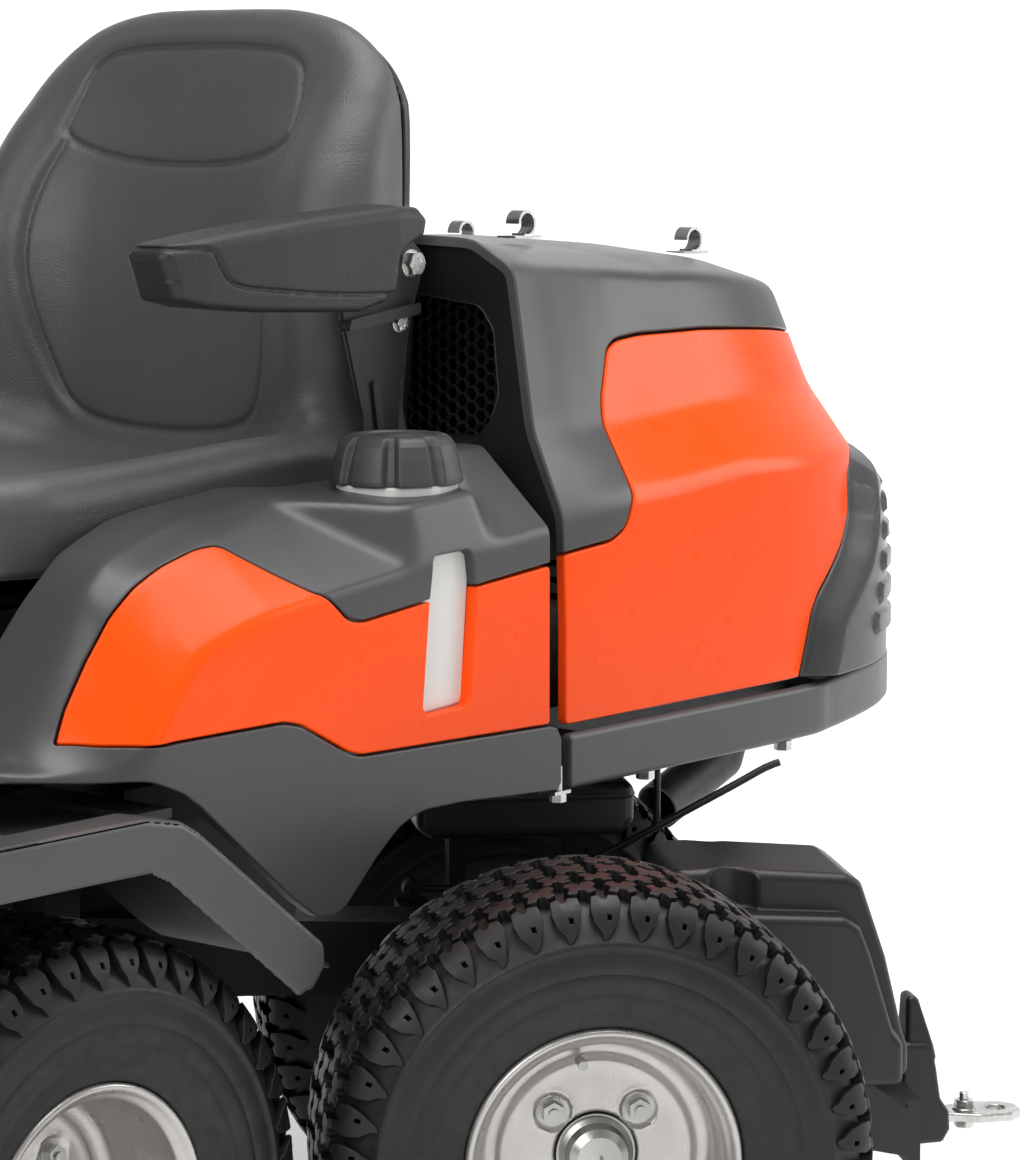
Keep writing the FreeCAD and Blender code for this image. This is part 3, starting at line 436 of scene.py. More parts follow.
def joined(parts):
    Vs, Fs, Ns, s = [], [], [], 0
    anyn = any(p[2] is not None for p in parts)
    for V, F, N in parts:
        Vs.append(np.asarray(V, float))
        Fs += [tuple(i + s for i in f) for f in F]
        Ns.append(N if N is not None else np.zeros((len(V), 3)))
        s += len(V)
    return np.concatenate(Vs), Fs, (np.concatenate(Ns) if anyn else None)


def tube(path, rad, seg=16, cap=True):
    """Round tube along a smooth path of points; rad one number or one per point."""
    P = np.asarray(path, float)
    n = len(P)
    R = np.full(n, rad) if np.isscalar(rad) else np.asarray(rad, float)
    T = np.gradient(P, axis=0)
    T /= np.linalg.norm(T, axis=1, keepdims=True)
    ref = np.array([0, 0, 1.0]) if abs(T[0][2]) < 0.9 else np.array([1.0, 0, 0])
    u = np.cross(T[0], ref)
    u /= np.linalg.norm(u)
    V, F = [], []
    for i in range(n):
        u = u - T[i] * (u @ T[i])
        u /= np.linalg.norm(u)
        w = np.cross(T[i], u)
        for k in range(seg):
            a = 2 * math.pi * k / seg
            V.append(P[i] + R[i] * (u * math.cos(a) + w * math.sin(a)))
    for i in range(n - 1):
        for k in range(seg):
            k2 = (k + 1) % seg
            F.append((i * seg + k, i * seg + k2, (i + 1) * seg + k2, (i + 1) * seg + k))
    if cap:
        F.append(tuple(range(seg))[::-1])
        F.append(tuple((n - 1) * seg + k for k in range(seg)))
    return np.array(V), F, None


def smooth_path(pts, step=5.0, closed=False):
    """Catmull-Rom through the points."""
    P = np.asarray(pts, float)
    n = len(P)
    out = []
    rng = range(n if closed else n - 1)
    for i in rng:
        p0 = P[(i - 1) % n] if closed or i > 0 else 2 * P[0] - P[1]
        p1, p2 = P[i], P[(i + 1) % n]
        p3 = P[(i + 2) % n] if closed or i + 2 < n else 2 * P[-1] - P[-2]
        k = max(2, int(np.linalg.norm(p2 - p1) / step))
        for q in range(k):
            t = q / k
            out.append(0.5 * ((2 * p1) + (-p0 + p2) * t + (2 * p0 - 5 * p1 + 4 * p2 - p3) * t * t + (-p0 + 3 * p1 - 3 * p2 + p3) * t ** 3))
    if not closed:
        out.append(P[-1])
    return np.array(out)


def lathe(prof, c, ax, seg=96, closed=True, ref=(0, 0, 1)):
    """Solid of revolution of (a, r) points about the axis ax through c."""
    ax = np.array(ax, float)
    ax /= np.linalg.norm(ax)
    ref = np.array(ref, float)
    if abs(ref @ ax) > 0.9:
        ref = np.array([1.0, 0, 0])
    u = ref - ax * (ref @ ax)
    u /= np.linalg.norm(u)
    w = np.cross(ax, u)
    c = np.array(c, float)
    V, F = [], []
    n = len(prof)
    rings = []
    for a, r in prof:
        if r < 1e-6:
            rings.append([len(V)])
            V.append(c + ax * a)
        else:
            rings.append(list(range(len(V), len(V) + seg)))
            for k in range(seg):
                t = 2 * math.pi * k / seg
                V.append(c + ax * a + r * (u * math.cos(t) + w * math.sin(t)))
    for i in range(n if closed else n - 1):
        A, B = rings[i], rings[(i + 1) % n]
        if len(A) == 1 and len(B) == 1:
            continue
        for k in range(seg):
            k2 = (k + 1) % seg
            if len(A) == 1:
                F.append((A[0], B[k2], B[k]))
            elif len(B) == 1:
                F.append((A[k], A[k2], B[0]))
            else:
                F.append((A[k], A[k2], B[k2], B[k]))
    return np.array(V), F, None
# ------------------------------------------------------------------ soft solids: distance fields and surface nets
def nets(f, lo, hi, h, sym=True):
    """Closed mesh of f < 0 on a regular grid, if sym mirrored about y = 0; f takes x, y, z arrays."""
    xs = np.arange(lo[0], hi[0] + h, h)
    ys = np.arange(0 if sym else lo[1], hi[1] + h, h)
    zs = np.arange(lo[2], hi[2] + h, h)
    A = f(xs[:, None, None], ys[None, :, None], zs[None, None, :])
    G = A
    if sym:
        G = np.concatenate([A[:, :0:-1, :], A], 1)
        ys = np.r_[-ys[:0:-1], ys]
    nx, ny, nz = G.shape
    s = G < 0
    c = s[:-1, :-1, :-1].astype(np.int8)
    for i, j, k in ((1, 0, 0), (0, 1, 0), (0, 0, 1), (1, 1, 0), (1, 0, 1), (0, 1, 1), (1, 1, 1)):
        c = c + s[i:nx - 1 + i, j:ny - 1 + j, k:nz - 1 + k]
    ids = np.full(c.shape, -1, int)
    I, J, K = np.nonzero((c > 0) & (c < 8))
    ids[I, J, K] = np.arange(len(I))
    acc = np.zeros((len(I), 3))
    cnt = np.zeros(len(I))
    corners = [(0, 0, 0), (1, 0, 0), (0, 1, 0), (1, 1, 0), (0, 0, 1), (1, 0, 1), (0, 1, 1), (1, 1, 1)]
    for a in range(8):
        for b in range(a + 1, 8):
            if sum(abs(p - q) for p, q in zip(corners[a], corners[b])) != 1:
                continue
            va = G[I + corners[a][0], J + corners[a][1], K + corners[a][2]]
            vb = G[I + corners[b][0], J + corners[b][1], K + corners[b][2]]
            m = (va < 0) != (vb < 0)
            t = np.where(m, va / np.where(m, va - vb, 1), 0)
            for q in range(3):
                acc[:, q] += np.where(m, corners[a][q] + t * (corners[b][q] - corners[a][q]), 0)
            cnt += m
    V = acc / cnt[:, None]
    V = np.c_[xs[0] + (I + V[:, 0]) * h, ys[0] + (J + V[:, 1]) * h, zs[0] + (K + V[:, 2]) * h]
    F = []
    for ax in range(3):
        d = [0, 0, 0]
        d[ax] = 1
        a = s[:nx - d[0], :ny - d[1], :nz - d[2]]
        b = s[d[0]:, d[1]:, d[2]:]
        P, Q, R = np.nonzero(a != b)
        u, v = [(1, 2), (2, 0), (0, 1)][ax]
        e = np.stack([P, Q, R], 1)
        ok = (e[:, u] > 0) & (e[:, v] > 0) & (e[:, u] < G.shape[u] - 1) & (e[:, v] < G.shape[v] - 1)
        e = e[ok]
        inside_a = a[e[:, 0], e[:, 1], e[:, 2]]
        quad = []
        for du, dv in ((0, 0), (-1, 0), (-1, -1), (0, -1)):
            w = e.copy()
            w[:, u] += du
            w[:, v] += dv
            quad.append(ids[w[:, 0], w[:, 1], w[:, 2]])
        q = np.stack(quad, 1)
        q[~inside_a] = q[~inside_a][:, ::-1]
        F.append(q)
    return V, np.concatenate(F)


def grad(f, V, e=0.35):
    g = np.zeros_like(V)
    for k in range(3):
        d = np.zeros(3)
        d[k] = e
        g[:, k] = (f(*(V + d).T) - f(*(V - d).T)) / (2 * e)
    return g


def solid(f, lo, hi, h, iters=3, e=0.35, sym=True):
    V, F = nets(f, lo, hi, h, sym)
    for _ in range(iters):
        g = grad(f, V, e)
        n2 = np.maximum((g ** 2).sum(1), 0.05)
        st = np.clip(f(*V.T) / n2, -h * 0.5, h * 0.5)
        V = V - 0.8 * st[:, None] * g
    g = grad(f, V, e)
    N = g / np.maximum(np.linalg.norm(g, axis=1), 1e-9)[:, None]
    return V, F.tolist(), N


def rmax(a, b, r):
    """max of two distances with a round edge of radius r"""
    u, v = np.maximum(a + r, 0), np.maximum(b + r, 0)
    return np.minimum(np.maximum(a, b), -r) + np.sqrt(u * u + v * v)


def smin(a, b, k):
    h = np.clip(0.5 + 0.5 * (b - a) / k, 0, 1)
    return b + (a - b) * h - k * h * (1 - h)


def smax(a, b, k):
    return -smin(-a, -b, k)


class F2:
    """Smooth table over two coordinates."""

    def __init__(self, u0, v0, du, dv, T):
        self.u0, self.v0, self.du, self.dv, self.T = u0, v0, du, dv, T

    def __call__(self, u, v):
        a = np.clip((u - self.u0) / self.du, 0, self.T.shape[0] - 1.001)
        b = np.clip((v - self.v0) / self.dv, 0, self.T.shape[1] - 1.001)
        i, j = a.astype(int), b.astype(int)
        a, b = a - i, b - j
        T = self.T
        return (T[i, j] * (1 - a) + T[i + 1, j] * a) * (1 - b) + (T[i, j + 1] * (1 - a) + T[i + 1, j + 1] * a) * b


def dist_field(poly, closed, u, v):
    """Unsigned distance from the points u x v to a polyline."""
    P = np.asarray(poly, float)
    A = P if closed else P[:-1]
    B = np.roll(P, -1, 0) if closed else P[1:]
    U, W = np.meshgrid(u, v, indexing="ij")
    best = np.full(U.shape, 1e9)
    for a, b in zip(A, B):
        d = b - a
        L = max((d ** 2).sum(), 1e-9)
        t = np.clip(((U - a[0]) * d[0] + (W - a[1]) * d[1]) / L, 0, 1)
        best = np.minimum(best, (U - a[0] - t * d[0]) ** 2 + (W - a[1] - t * d[1]) ** 2)
    return np.sqrt(best)


def inside_field(poly, u, v):
    P = np.asarray(poly, float)
    U, W = np.meshgrid(u, v, indexing="ij")
    r = np.zeros(U.shape, bool)
    for a, b in zip(P, np.roll(P, -1, 0)):
        if a[1] == b[1]:
            continue
        m = (W > min(a[1], b[1])) & (W <= max(a[1], b[1]))
        x = a[0] + (W - a[1]) * (b[0] - a[0]) / (b[1] - a[1])
        r ^= m & (U < x)
    return r


def signed_field(poly, u, v):
    return np.where(inside_field(poly, u, v), -1, 1) * dist_field(poly, True, u, v)


def prism_field(poly, h=1.0, pad=14):
    """Signed distance to a closed outline, as a smooth table."""
    P = np.asarray(poly, float)
    lo, hi = P.min(0) - pad, P.max(0) + pad
    u, v = np.arange(lo[0], hi[0] + h, h), np.arange(lo[1], hi[1] + h, h)
    return F2(lo[0], lo[1], h, h, signed_field(P, u, v))


def line_field(poly, box, h=1.0):
    u, v = np.arange(box[0], box[1] + h, h), np.arange(box[2], box[3] + h, h)
    return F2(box[0], box[2], h, h, dist_field(poly, False, u, v))


def shifted(part, d):
    V, F, N = part
    return V + np.array(d, float), F, N


def hexbolt(c, ax, af, h, wash=None, stud=0.0):
    """Hex head with a chamfered top, a flange washer and, if asked, a stud end."""
    ax = np.array(ax, float) / np.linalg.norm(ax)
    ref = np.array([0, 0, 1.0]) if abs(ax[2]) < 0.9 else np.array([1.0, 0, 0])
    u = ref - ax * (ref @ ax)
    u /= np.linalg.norm(u)
    w = np.cross(ax, u)
    c = np.array(c, float)
    R = af / math.sqrt(3)
    V, F = [], []
    n = 48
    prof = [(0.0, 1.0, 0), (h * 0.80, 1.0, 0), (h * 0.93, 0.955, 1), (h, 0.87, 2), (h, 0.5, 3), (h - 0.5, 0.42, 3)]
    for a, s, kind in prof:
        for k in range(n):
            t = 2 * math.pi * k / n
            hexr = R * math.cos(math.pi / 6) / math.cos((t + math.pi / 6) % (math.pi / 3) - math.pi / 6)
            rc = af / 2 * 1.02
            r = [hexr, min(hexr, R * 0.955 + 0.0), min(hexr, rc) * 0.96, rc * s][kind]
            V.append(c + ax * a + r * (u * math.cos(t) + w * math.sin(t)))
    V = [v for v in V]
    for i in range(len(prof) - 1):
        for k in range(n):
            F.append((i * n + k, i * n + (k + 1) % n, (i + 1) * n + (k + 1) % n, (i + 1) * n + k))
    F.append(tuple(range((len(prof) - 1) * n, len(prof) * n)))
    F.append(tuple(range(n - 1, -1, -1)))
    parts = [(np.array(V), F, None)]
    if wash:
        parts.append(lathe([(-0.2, 0.5), (-0.2, wash), (1.0, wash), (1.4, wash - 0.5), (1.4, 0.5)], c, ax, seg=40))
    if stud:
        parts.append(lathe([(h - 1, 0.4), (h - 1, af * 0.27), (h + stud - 0.8, af * 0.27), (h + stud, af * 0.22), (h + stud, 0.4)], c, ax, seg=32))
    Vs, Fs, o = [], [], 0
    for V, F, _ in parts:
        Vs.append(np.asarray(V))
        Fs += [tuple(int(i) + o for i in f) for f in F]
        o += len(V)
    return np.concatenate(Vs), Fs, None
# ------------------------------------------------------------------ materials


def lin(c):
    return tuple(((v / 12.92) if v <= 0.04045 else ((v + 0.055) / 1.055) ** 2.4) for v in c)


class Mat:
    def __init__(self, name):
        self.m = bpy.data.materials.new(name)
        self.m.use_nodes = True
        self.t = self.m.node_tree
        self.b = self.t.nodes["Principled BSDF"]
        self.co = self.t.nodes.new("ShaderNodeTexCoord").outputs["Object"]
        self.h = None

    def node(self, kind, **kw):
        n = self.t.nodes.new(kind)
        for k, v in kw.items():
            if hasattr(n, k):
                setattr(n, k, v)
            else:
                n.inputs[k.replace("_", " ")].default_value = v
        return n

    def link(self, a, b):
        self.t.links.new(a, b)

    def noise(self, scale, detail=3.0, rough=0.55, co=None):
        n = self.node("ShaderNodeTexNoise")
        n.inputs["Scale"].default_value = scale
        n.inputs["Detail"].default_value = detail
        n.inputs["Roughness"].default_value = rough
        self.link(co or self.co, n.inputs["Vector"])
        return n.outputs["Fac"]

    def voro(self, scale, feature="F1", co=None, rand=1.0):
        n = self.node("ShaderNodeTexVoronoi")
        n.feature = feature
        n.inputs["Scale"].default_value = scale
        n.inputs["Randomness"].default_value = rand
        self.link(co or self.co, n.inputs["Vector"])
        return n.outputs["Distance"]

    def ramp(self, fac, stops):
        r = self.node("ShaderNodeValToRGB")
        e = r.color_ramp.elements
        while len(e) > 1:
            e.remove(e[-1])
        e[0].position, e[0].color = stops[0][0], (*stops[0][1], 1)
        for p, c in stops[1:]:
            q = e.new(p)
            q.color = (*c, 1)
        self.link(fac, r.inputs["Fac"])
        return r.outputs["Color"]

    def maprange(self, fac, a, b, c, d):
        n = self.node("ShaderNodeMapRange")
        for k, v in zip(("From Min", "From Max", "To Min", "To Max"), (a, b, c, d)):
            n.inputs[k].default_value = v
        self.link(fac, n.inputs["Value"])
        return n.outputs["Result"]

    def math(self, op, a, b=None):
        n = self.node("ShaderNodeMath", operation=op)
        for i, v in enumerate((a, b)):
            if v is None:
                continue
            if hasattr(v, "is_linked") or hasattr(v, "links"):
                self.link(v, n.inputs[i])
            else:
                n.inputs[i].default_value = v
        return n.outputs[0]

    def mix(self, fac, a, b):
        n = self.node("ShaderNodeMix", data_type="RGBA")
        self.link(fac, n.inputs[0])
        for i, v in ((6, a), (7, b)):
            if isinstance(v, tuple):
                n.inputs[i].default_value = (*v, 1)
            else:
                self.link(v, n.inputs[i])
        return n.outputs[2]

    def bump(self, height, dist, strength=1.0):
        n = self.node("ShaderNodeBump")
        n.inputs["Strength"].default_value = strength
        n.inputs["Distance"].default_value = dist
        self.link(height, n.inputs["Height"])
        if self.h is not None:
            self.link(self.h, n.inputs["Normal"])
        self.h = n.outputs["Normal"]
        self.link(self.h, self.b.inputs["Normal"])


def moulded(name, col, rough=0.42, grain=0.00006, gscale=900.0, var=0.06, spec=0.5, coat=0.0, scuff=0.5):
    """Injection-moulded plastic: fine spark grain, slight flow variation, faint handling scuffs."""
    m = Mat(name)
    c = lin(col)
    big = m.noise(3.5, 3)
    dark = tuple(v * (1 - var) for v in c)
    light = tuple(min(1, v * (1 + var)) for v in c)
    base = m.ramp(big, [(0.3, dark), (0.7, light)])
    fine = m.noise(gscale, 2)
    m.link(base, m.b.inputs["Base Color"])
    sc = m.noise(38, 6, 0.7)
    r1 = m.maprange(sc, 0.35, 0.75, rough - 0.05 * scuff, rough + 0.07 * scuff)
    m.link(r1, m.b.inputs["Roughness"])
    m.b.inputs["Specular IOR Level"].default_value = spec
    if coat:
        m.b.inputs["Coat Weight"].default_value = coat
        m.b.inputs["Coat Roughness"].default_value = 0.18
    m.bump(fine, grain)
    wav = m.noise(14, 2)
    m.bump(wav, 0.00025)
    return m.m


def painted(name, col, rough=0.35, metallic=0.0, peel=0.00006, dirt=0.1, spec=0.5, coat=0.0):
    """Painted or plated metal: orange peel, dust in the low grime noise."""
    m = Mat(name)
    c = lin(col)
    g = m.noise(9, 7, 0.65)
    base = m.ramp(g, [(0.35, tuple(v * (1 - dirt) for v in c)), (0.62, c)])
    m.link(base, m.b.inputs["Base Color"])
    m.b.inputs["Metallic"].default_value = metallic
    m.b.inputs["Specular IOR Level"].default_value = spec
    rr = m.maprange(m.noise(60, 5, 0.7), 0.3, 0.7, max(0.05, rough - 0.06), rough + 0.08)
    m.link(rr, m.b.inputs["Roughness"])
    if coat:
        m.b.inputs["Coat Weight"].default_value = coat
        m.b.inputs["Coat Roughness"].default_value = 0.1
    m.bump(m.noise(420, 2), peel)
    return m.m


def cast(name, col, rough=0.6, metallic=0.4):
    m = Mat(name)
    c = lin(col)
    g = m.noise(22, 8, 0.7)
    m.link(m.ramp(g, [(0.3, tuple(v * 0.7 for v in c)), (0.7, c)]), m.b.inputs["Base Color"])
    m.b.inputs["Metallic"].default_value = metallic
    m.link(m.maprange(g, 0.3, 0.7, rough + 0.1, rough - 0.08), m.b.inputs["Roughness"])
    m.bump(m.noise(300, 4, 0.8), 0.0004)
    return m.m


def rubber(name, col=(0.062, 0.063, 0.066), rough=0.5):
    m = Mat(name)
    c = lin(col)
    g = m.noise(26, 7, 0.7)
    dust = lin((0.115, 0.113, 0.11))
    m.link(m.ramp(g, [(0.42, c), (0.78, dust)]), m.b.inputs["Base Color"])
    m.link(m.maprange(m.noise(90, 5, 0.6), 0.3, 0.7, rough - 0.1, rough + 0.1), m.b.inputs["Roughness"])
    m.b.inputs["Specular IOR Level"].default_value = 0.42
    m.bump(m.noise(700, 3), 0.00012)
    return m.m


def vinyl(name, col=(0.272, 0.275, 0.278), rough=0.42):
    """Calendered vinyl: leather grain from two cell sizes, soft sheen, tone drift."""
    m = Mat(name)
    c = lin(col)
    g = m.noise(5.0, 4)
    m.link(m.ramp(g, [(0.3, tuple(v * 0.9 for v in c)), (0.7, tuple(v * 1.08 for v in c))]), m.b.inputs["Base Color"])
    m.link(m.maprange(m.noise(45, 4), 0.3, 0.7, rough - 0.05, rough + 0.06), m.b.inputs["Roughness"])
    m.b.inputs["Specular IOR Level"].default_value = 0.5
    m.b.inputs["Sheen Weight"].default_value = 0.06
    cells = m.voro(620)
    m.bump(m.maprange(cells, 0.0, 0.9, 0.0, 1.0), 0.00022)
    m.bump(m.noise(1700, 2), 0.00008)
    return m.m


M_ORANGE = moulded("orange_plastic", (1.0, 0.31, 0.0), rough=0.30, grain=0.00002, var=0.02, spec=0.2, coat=0.06, scuff=0.6)
M_GREY = moulded("grey_plastic", (0.245, 0.246, 0.248), rough=0.36, grain=0.00005, var=0.05)
M_GREY2 = moulded("light_grey_plastic", (0.43, 0.43, 0.43), rough=0.45, grain=0.00005, var=0.05)
M_BUMPER = moulded("bumper_plastic", (0.265, 0.266, 0.268), rough=0.4, grain=0.00005, var=0.05)
M_BLACK = moulded("black_plastic", (0.105, 0.106, 0.108), rough=0.42, grain=0.00008, var=0.08)
M_GRILLE = moulded("grille_plastic", (0.14, 0.14, 0.143), rough=0.42, grain=0.00004, var=0.08)
M_CAP = moulded("cap_plastic", (0.22, 0.222, 0.226), rough=0.48, grain=0.00012, gscale=700, var=0.06)
M_WHITE = moulded("tank_plastic", (0.86, 0.865, 0.85), rough=0.35, grain=0.00003, var=0.02)
M_ARM = moulded("armrest_skin", (0.095, 0.096, 0.1), rough=0.5, grain=0.00035, gscale=480, var=0.07, spec=0.5)
M_VINYL = vinyl("seat_vinyl")
M_SHELL = moulded("seat_shell_plastic", (0.12, 0.122, 0.125), rough=0.4, var=0.05)
M_TYRE = rubber("tyre_rubber")
M_RIM = painted("rim_silver", (0.74, 0.73, 0.715), rough=0.3, metallic=0.75, dirt=0.12, coat=0.1)
M_ZINC = painted("zinc_plate", (0.80, 0.80, 0.79), rough=0.26, metallic=1.0, peel=0.00003, dirt=0.2)
M_HUB = painted("hub_zinc", (0.72, 0.72, 0.70), rough=0.32, metallic=1.0, peel=0.00005, dirt=0.25)
M_FRAME = painted("frame_black", (0.115, 0.115, 0.118), rough=0.45, dirt=0.25)
M_CAST = cast("cast_housing", (0.33, 0.335, 0.34))
M_ENGINE = cast("engine_alloy", (0.62, 0.62, 0.61), rough=0.5, metallic=0.8)
M_EXH = painted("exhaust_steel", (0.36, 0.35, 0.34), rough=0.5, metallic=0.8, dirt=0.35, peel=0.0002)
M_DECK = painted("deck_steel", (0.16, 0.16, 0.165), rough=0.4, dirt=0.15)
M_BLADE = painted("blade_steel", (0.5, 0.5, 0.5), rough=0.35, metallic=1.0, dirt=0.3)
M_GRIP = moulded("grip_black", (0.11, 0.11, 0.113), rough=0.6, grain=0.0003, gscale=450)
# painted shade: a near-black, low-sheen sheet that stands in for the shadow inside the hood intake
M_INTAKE_SHADE = moulded("intake_painted_shade", (0.035, 0.035, 0.036), rough=0.85, grain=0.0004, gscale=350, var=0.2, spec=0.1)
# ------------------------------------------------------------------ engine hood
# Key points around a section, from the bottom edge up the side to the roof's middle: (y, z) for each station.
ST = [592, 628, 663, 712, 760, 860]
SEC = [
    [(388, 546), (388, 640), (384, 731), (351, 806), (329, 946), (282, 972), (150, 976), (0, 977)],
    [(388, 546), (388, 641), (386, 736), (346, 806), (322, 945), (270, 967), (140, 972), (0, 974)],
    [(388, 546), (388, 642), (387, 740), (340, 805), (313, 943), (256, 962), (130, 969), (0, 971)],
    [(388, 546), (388, 644), (387, 743), (334, 806), (302, 941), (240, 957), (120, 965), (0, 968)],
    [(388, 546), (388, 646), (387, 746), (331, 808), (294, 938), (225, 954), (110, 962), (0, 966)],
    [(388, 546), (388, 652), (387, 757), (330, 813), (290, 931), (208, 948), (104, 957), (0, 961)],
]
# from the last station the keys sweep round the rear: end x, end z, exponent, for each key
CX = 860.0
REND = [(1262, 546, 2.67), (1260, 650, 2.67), (1258, 745, 2.45), (1252, 812, 2.36), (1228, 892, 2.30), (1190, 921, 2.2), (1120, 939, 2.1), (1040, 949, 2.0)]


def hood_table():
    xs = np.arange(592, 860.1, 4.0)
    front = lerp_rows(ST, SEC, xs)                       # (nx, 8, 2)
    A = np.zeros((len(xs), 8, 3))
    A[..., 0] = xs[:, None]
    A[..., 1] = -front[..., 0]
    A[..., 2] = front[..., 1]
    nt = 160
    B = np.zeros((nt, 8, 3))
    ph = np.linspace(0, math.pi / 2, nt + 1)[1:]
    for k in range(8):
        y0, z0 = SEC[-1][k]
        x1, z1, q = REND[k]
        c, s = np.sin(ph), np.cos(ph)
        B[:, k, 0] = CX + (x1 - CX) * np.abs(c) ** (2 / q)
        B[:, k, 1] = -y0 * np.abs(s) ** (2 / q)
        f = (np.abs(c) ** (2 / q))
        B[:, k, 2] = z0 + (z1 - z0) * f ** 1.6
    # the shoulder fades out towards the rear corner; the front stations and the rear sweep go into one table
    T = np.concatenate([A, B], 0)
    # even spacing along the sweep
    ref = T[:, 1]
    d = np.r_[0, np.cumsum(np.linalg.norm(np.diff(ref, axis=0), axis=1))]
    n = int(d[-1] / 4.0)
    u = np.linspace(0, d[-1], n)
    K = np.zeros((n, 8, 3))
    for k in range(8):
        for c in range(3):
            K[:, k, c] = np.interp(u, d, T[:, k, c])
    # dense in the other direction
    seg = [94, 98, 94, 130, 64, 105, 110]
    nv = [int(s / 3.5) for s in seg]
    cols, w = [], []
    for k in range(7):
        for q in range(nv[k]):
            t = q / nv[k]
            cols.append(K[:, k] * (1 - t) + K[:, k + 1] * t)
            w.append(k + t)
    cols.append(K[:, 7])
    P = np.stack(cols, 1)
    # mirror beyond the middle so that smoothing leaves no ridge there
    m = 12
    Q = P[:, -m - 1:-1][:, ::-1].copy()
    Q[..., 1] *= -1
    E = np.concatenate([P, Q], 1)
    E = gauss(E, 2.2, 1)
    P = E[:, :P.shape[1]]
    P[:, -1, 1] = 0
    P = gauss(P, 2.5, 0)
    return P, d[-1] / (n - 1), 3.5


_P, _su, _sv = hood_table()
HOOD = Surf(_P, _su, _sv, flip=False)
HU, HV = (_P.shape[0] - 1) * _su, (_P.shape[1] - 1) * _sv
if HOOD.N[10, 10][1] > 0:
    HOOD = Surf(_P, _su, _sv, flip=True)

SEAM_F = [(0, 154), (66, 154), (88, 162), (100, 189), (117, 274), (125, 299), (149, 339), (165, 347), (205, 351), (317, 353), (480, 351), (640, 345), (708, 322)]
SEAM_V = [(357, 0), (381, 53), (394, 67), (454, 105), (487, 134), (494, 165)]
SEAM_R = [(530, 186), (640, 205), (704, 240), (722, 290), (708, 322)]


def hood_cut(L):
    return (L[:, 0] > HU - 0.6) | (L[:, 1] > HV - 0.6)


def hood_parts():
    orange = [(0, 0)] + SEAM_V + SEAM_R + SEAM_F[::-1][1:]
    rad = [6, 3, 25, 25, 60, 30, 14, 40, 60, 40, 30, 20, 120, 200, 200, 200, 60, 24, 24, 60, 30, 24, 24, 6]
    ol = round_poly(orange, (rad + [10] * 40)[:len(orange)])
    side = panel(HOOD, ol, T=4, wall=9, r=2.0, g=7.5, step=4.0, gap=1.4)
    shell = [(0, 154)] + SEAM_F[1:] + [(760, 300), (HU, 292), (HU, HV), (0, HV)]
    srad = [4, 24, 24, 30, 60, 24, 24, 60, 200, 200, 200, 120, 30, 80, 0, 0, 0]
    top = panel(HOOD, round_poly(shell, srad[:len(shell)]), T=4, wall=9, r=2.0, g=8.0, step=4.0, gap=1.4, cut=hood_cut)
    vent = SEAM_V + SEAM_R + [(760, 300), (HU, 292), (HU, 0)]
    vrad = [3, 25, 25, 60, 30, 14, 40, 60, 40, 30, 20, 40, 0, 0]
    vo = round_poly(vent, vrad[:len(vent)])
    edge = np.array([(357, -40)] + SEAM_V + SEAM_R + [(760, 300), (1000, 290)], float)

    def lift(Q):
        d = dist_poly(edge, Q, closed=False)
        t = np.clip((d - 2.0) / 26.0, 0, 1)
        base = 26.0 * t * t * (3 - 2 * t)
        low = np.clip(1 - (Q[:, 1] - 150) / 120, 0.35, 1)
        # louvre ribs across the rear, each with a rounded start
        k = np.round((Q[:, 1] - 34) / 25.0)
        y = (Q[:, 1] - 34) - 25.0 * k
        start = 480 + 15 * k
        d2 = np.where(Q[:, 0] < start, np.hypot(Q[:, 0] - start, y), np.abs(y))
        rib = np.clip((9.5 - d2) / 3.0, 0, 1)
        rib = rib * rib * (3 - 2 * rib) * ((k >= 0) & (k <= 9))
        inner = np.clip((d - 34) / 8.0, 0, 1)
        return base * low + 4.5 * rib * inner
    back = panel(HOOD, vo, T=4, wall=9, r=2.0, g=4.0, step=3.5, gap=1.4, cut=hood_cut, lift=lift)
    return side, mirror_join(top), mirror_join(back)


class Flat:
    """A flat sheet in the same role as a Surf: origin, two unit directions and an outward normal."""

    def __init__(self, o, a, b, n):
        self.o, self.a, self.b, self.n = (np.array(q, float) for q in (o, a, b, n))
        self.flip = float(np.cross(self.a, self.b) @ self.n) < 0

    def at(self, u, v):
        u, v = np.asarray(u, float), np.asarray(v, float)
        return self.o + u[..., None] * self.a + v[..., None] * self.b

    def nrm(self, u, v):
        u = np.asarray(u, float)
        return np.broadcast_to(self.n, u.shape + (3,)).copy()


INTAKE = [(-204, 920), (-284, 911), (-299, 891), (-305, 834), (-295, 810), (-276, 791)]
INTAKE = INTAKE + [(-y, z) for y, z in reversed(INTAKE)]


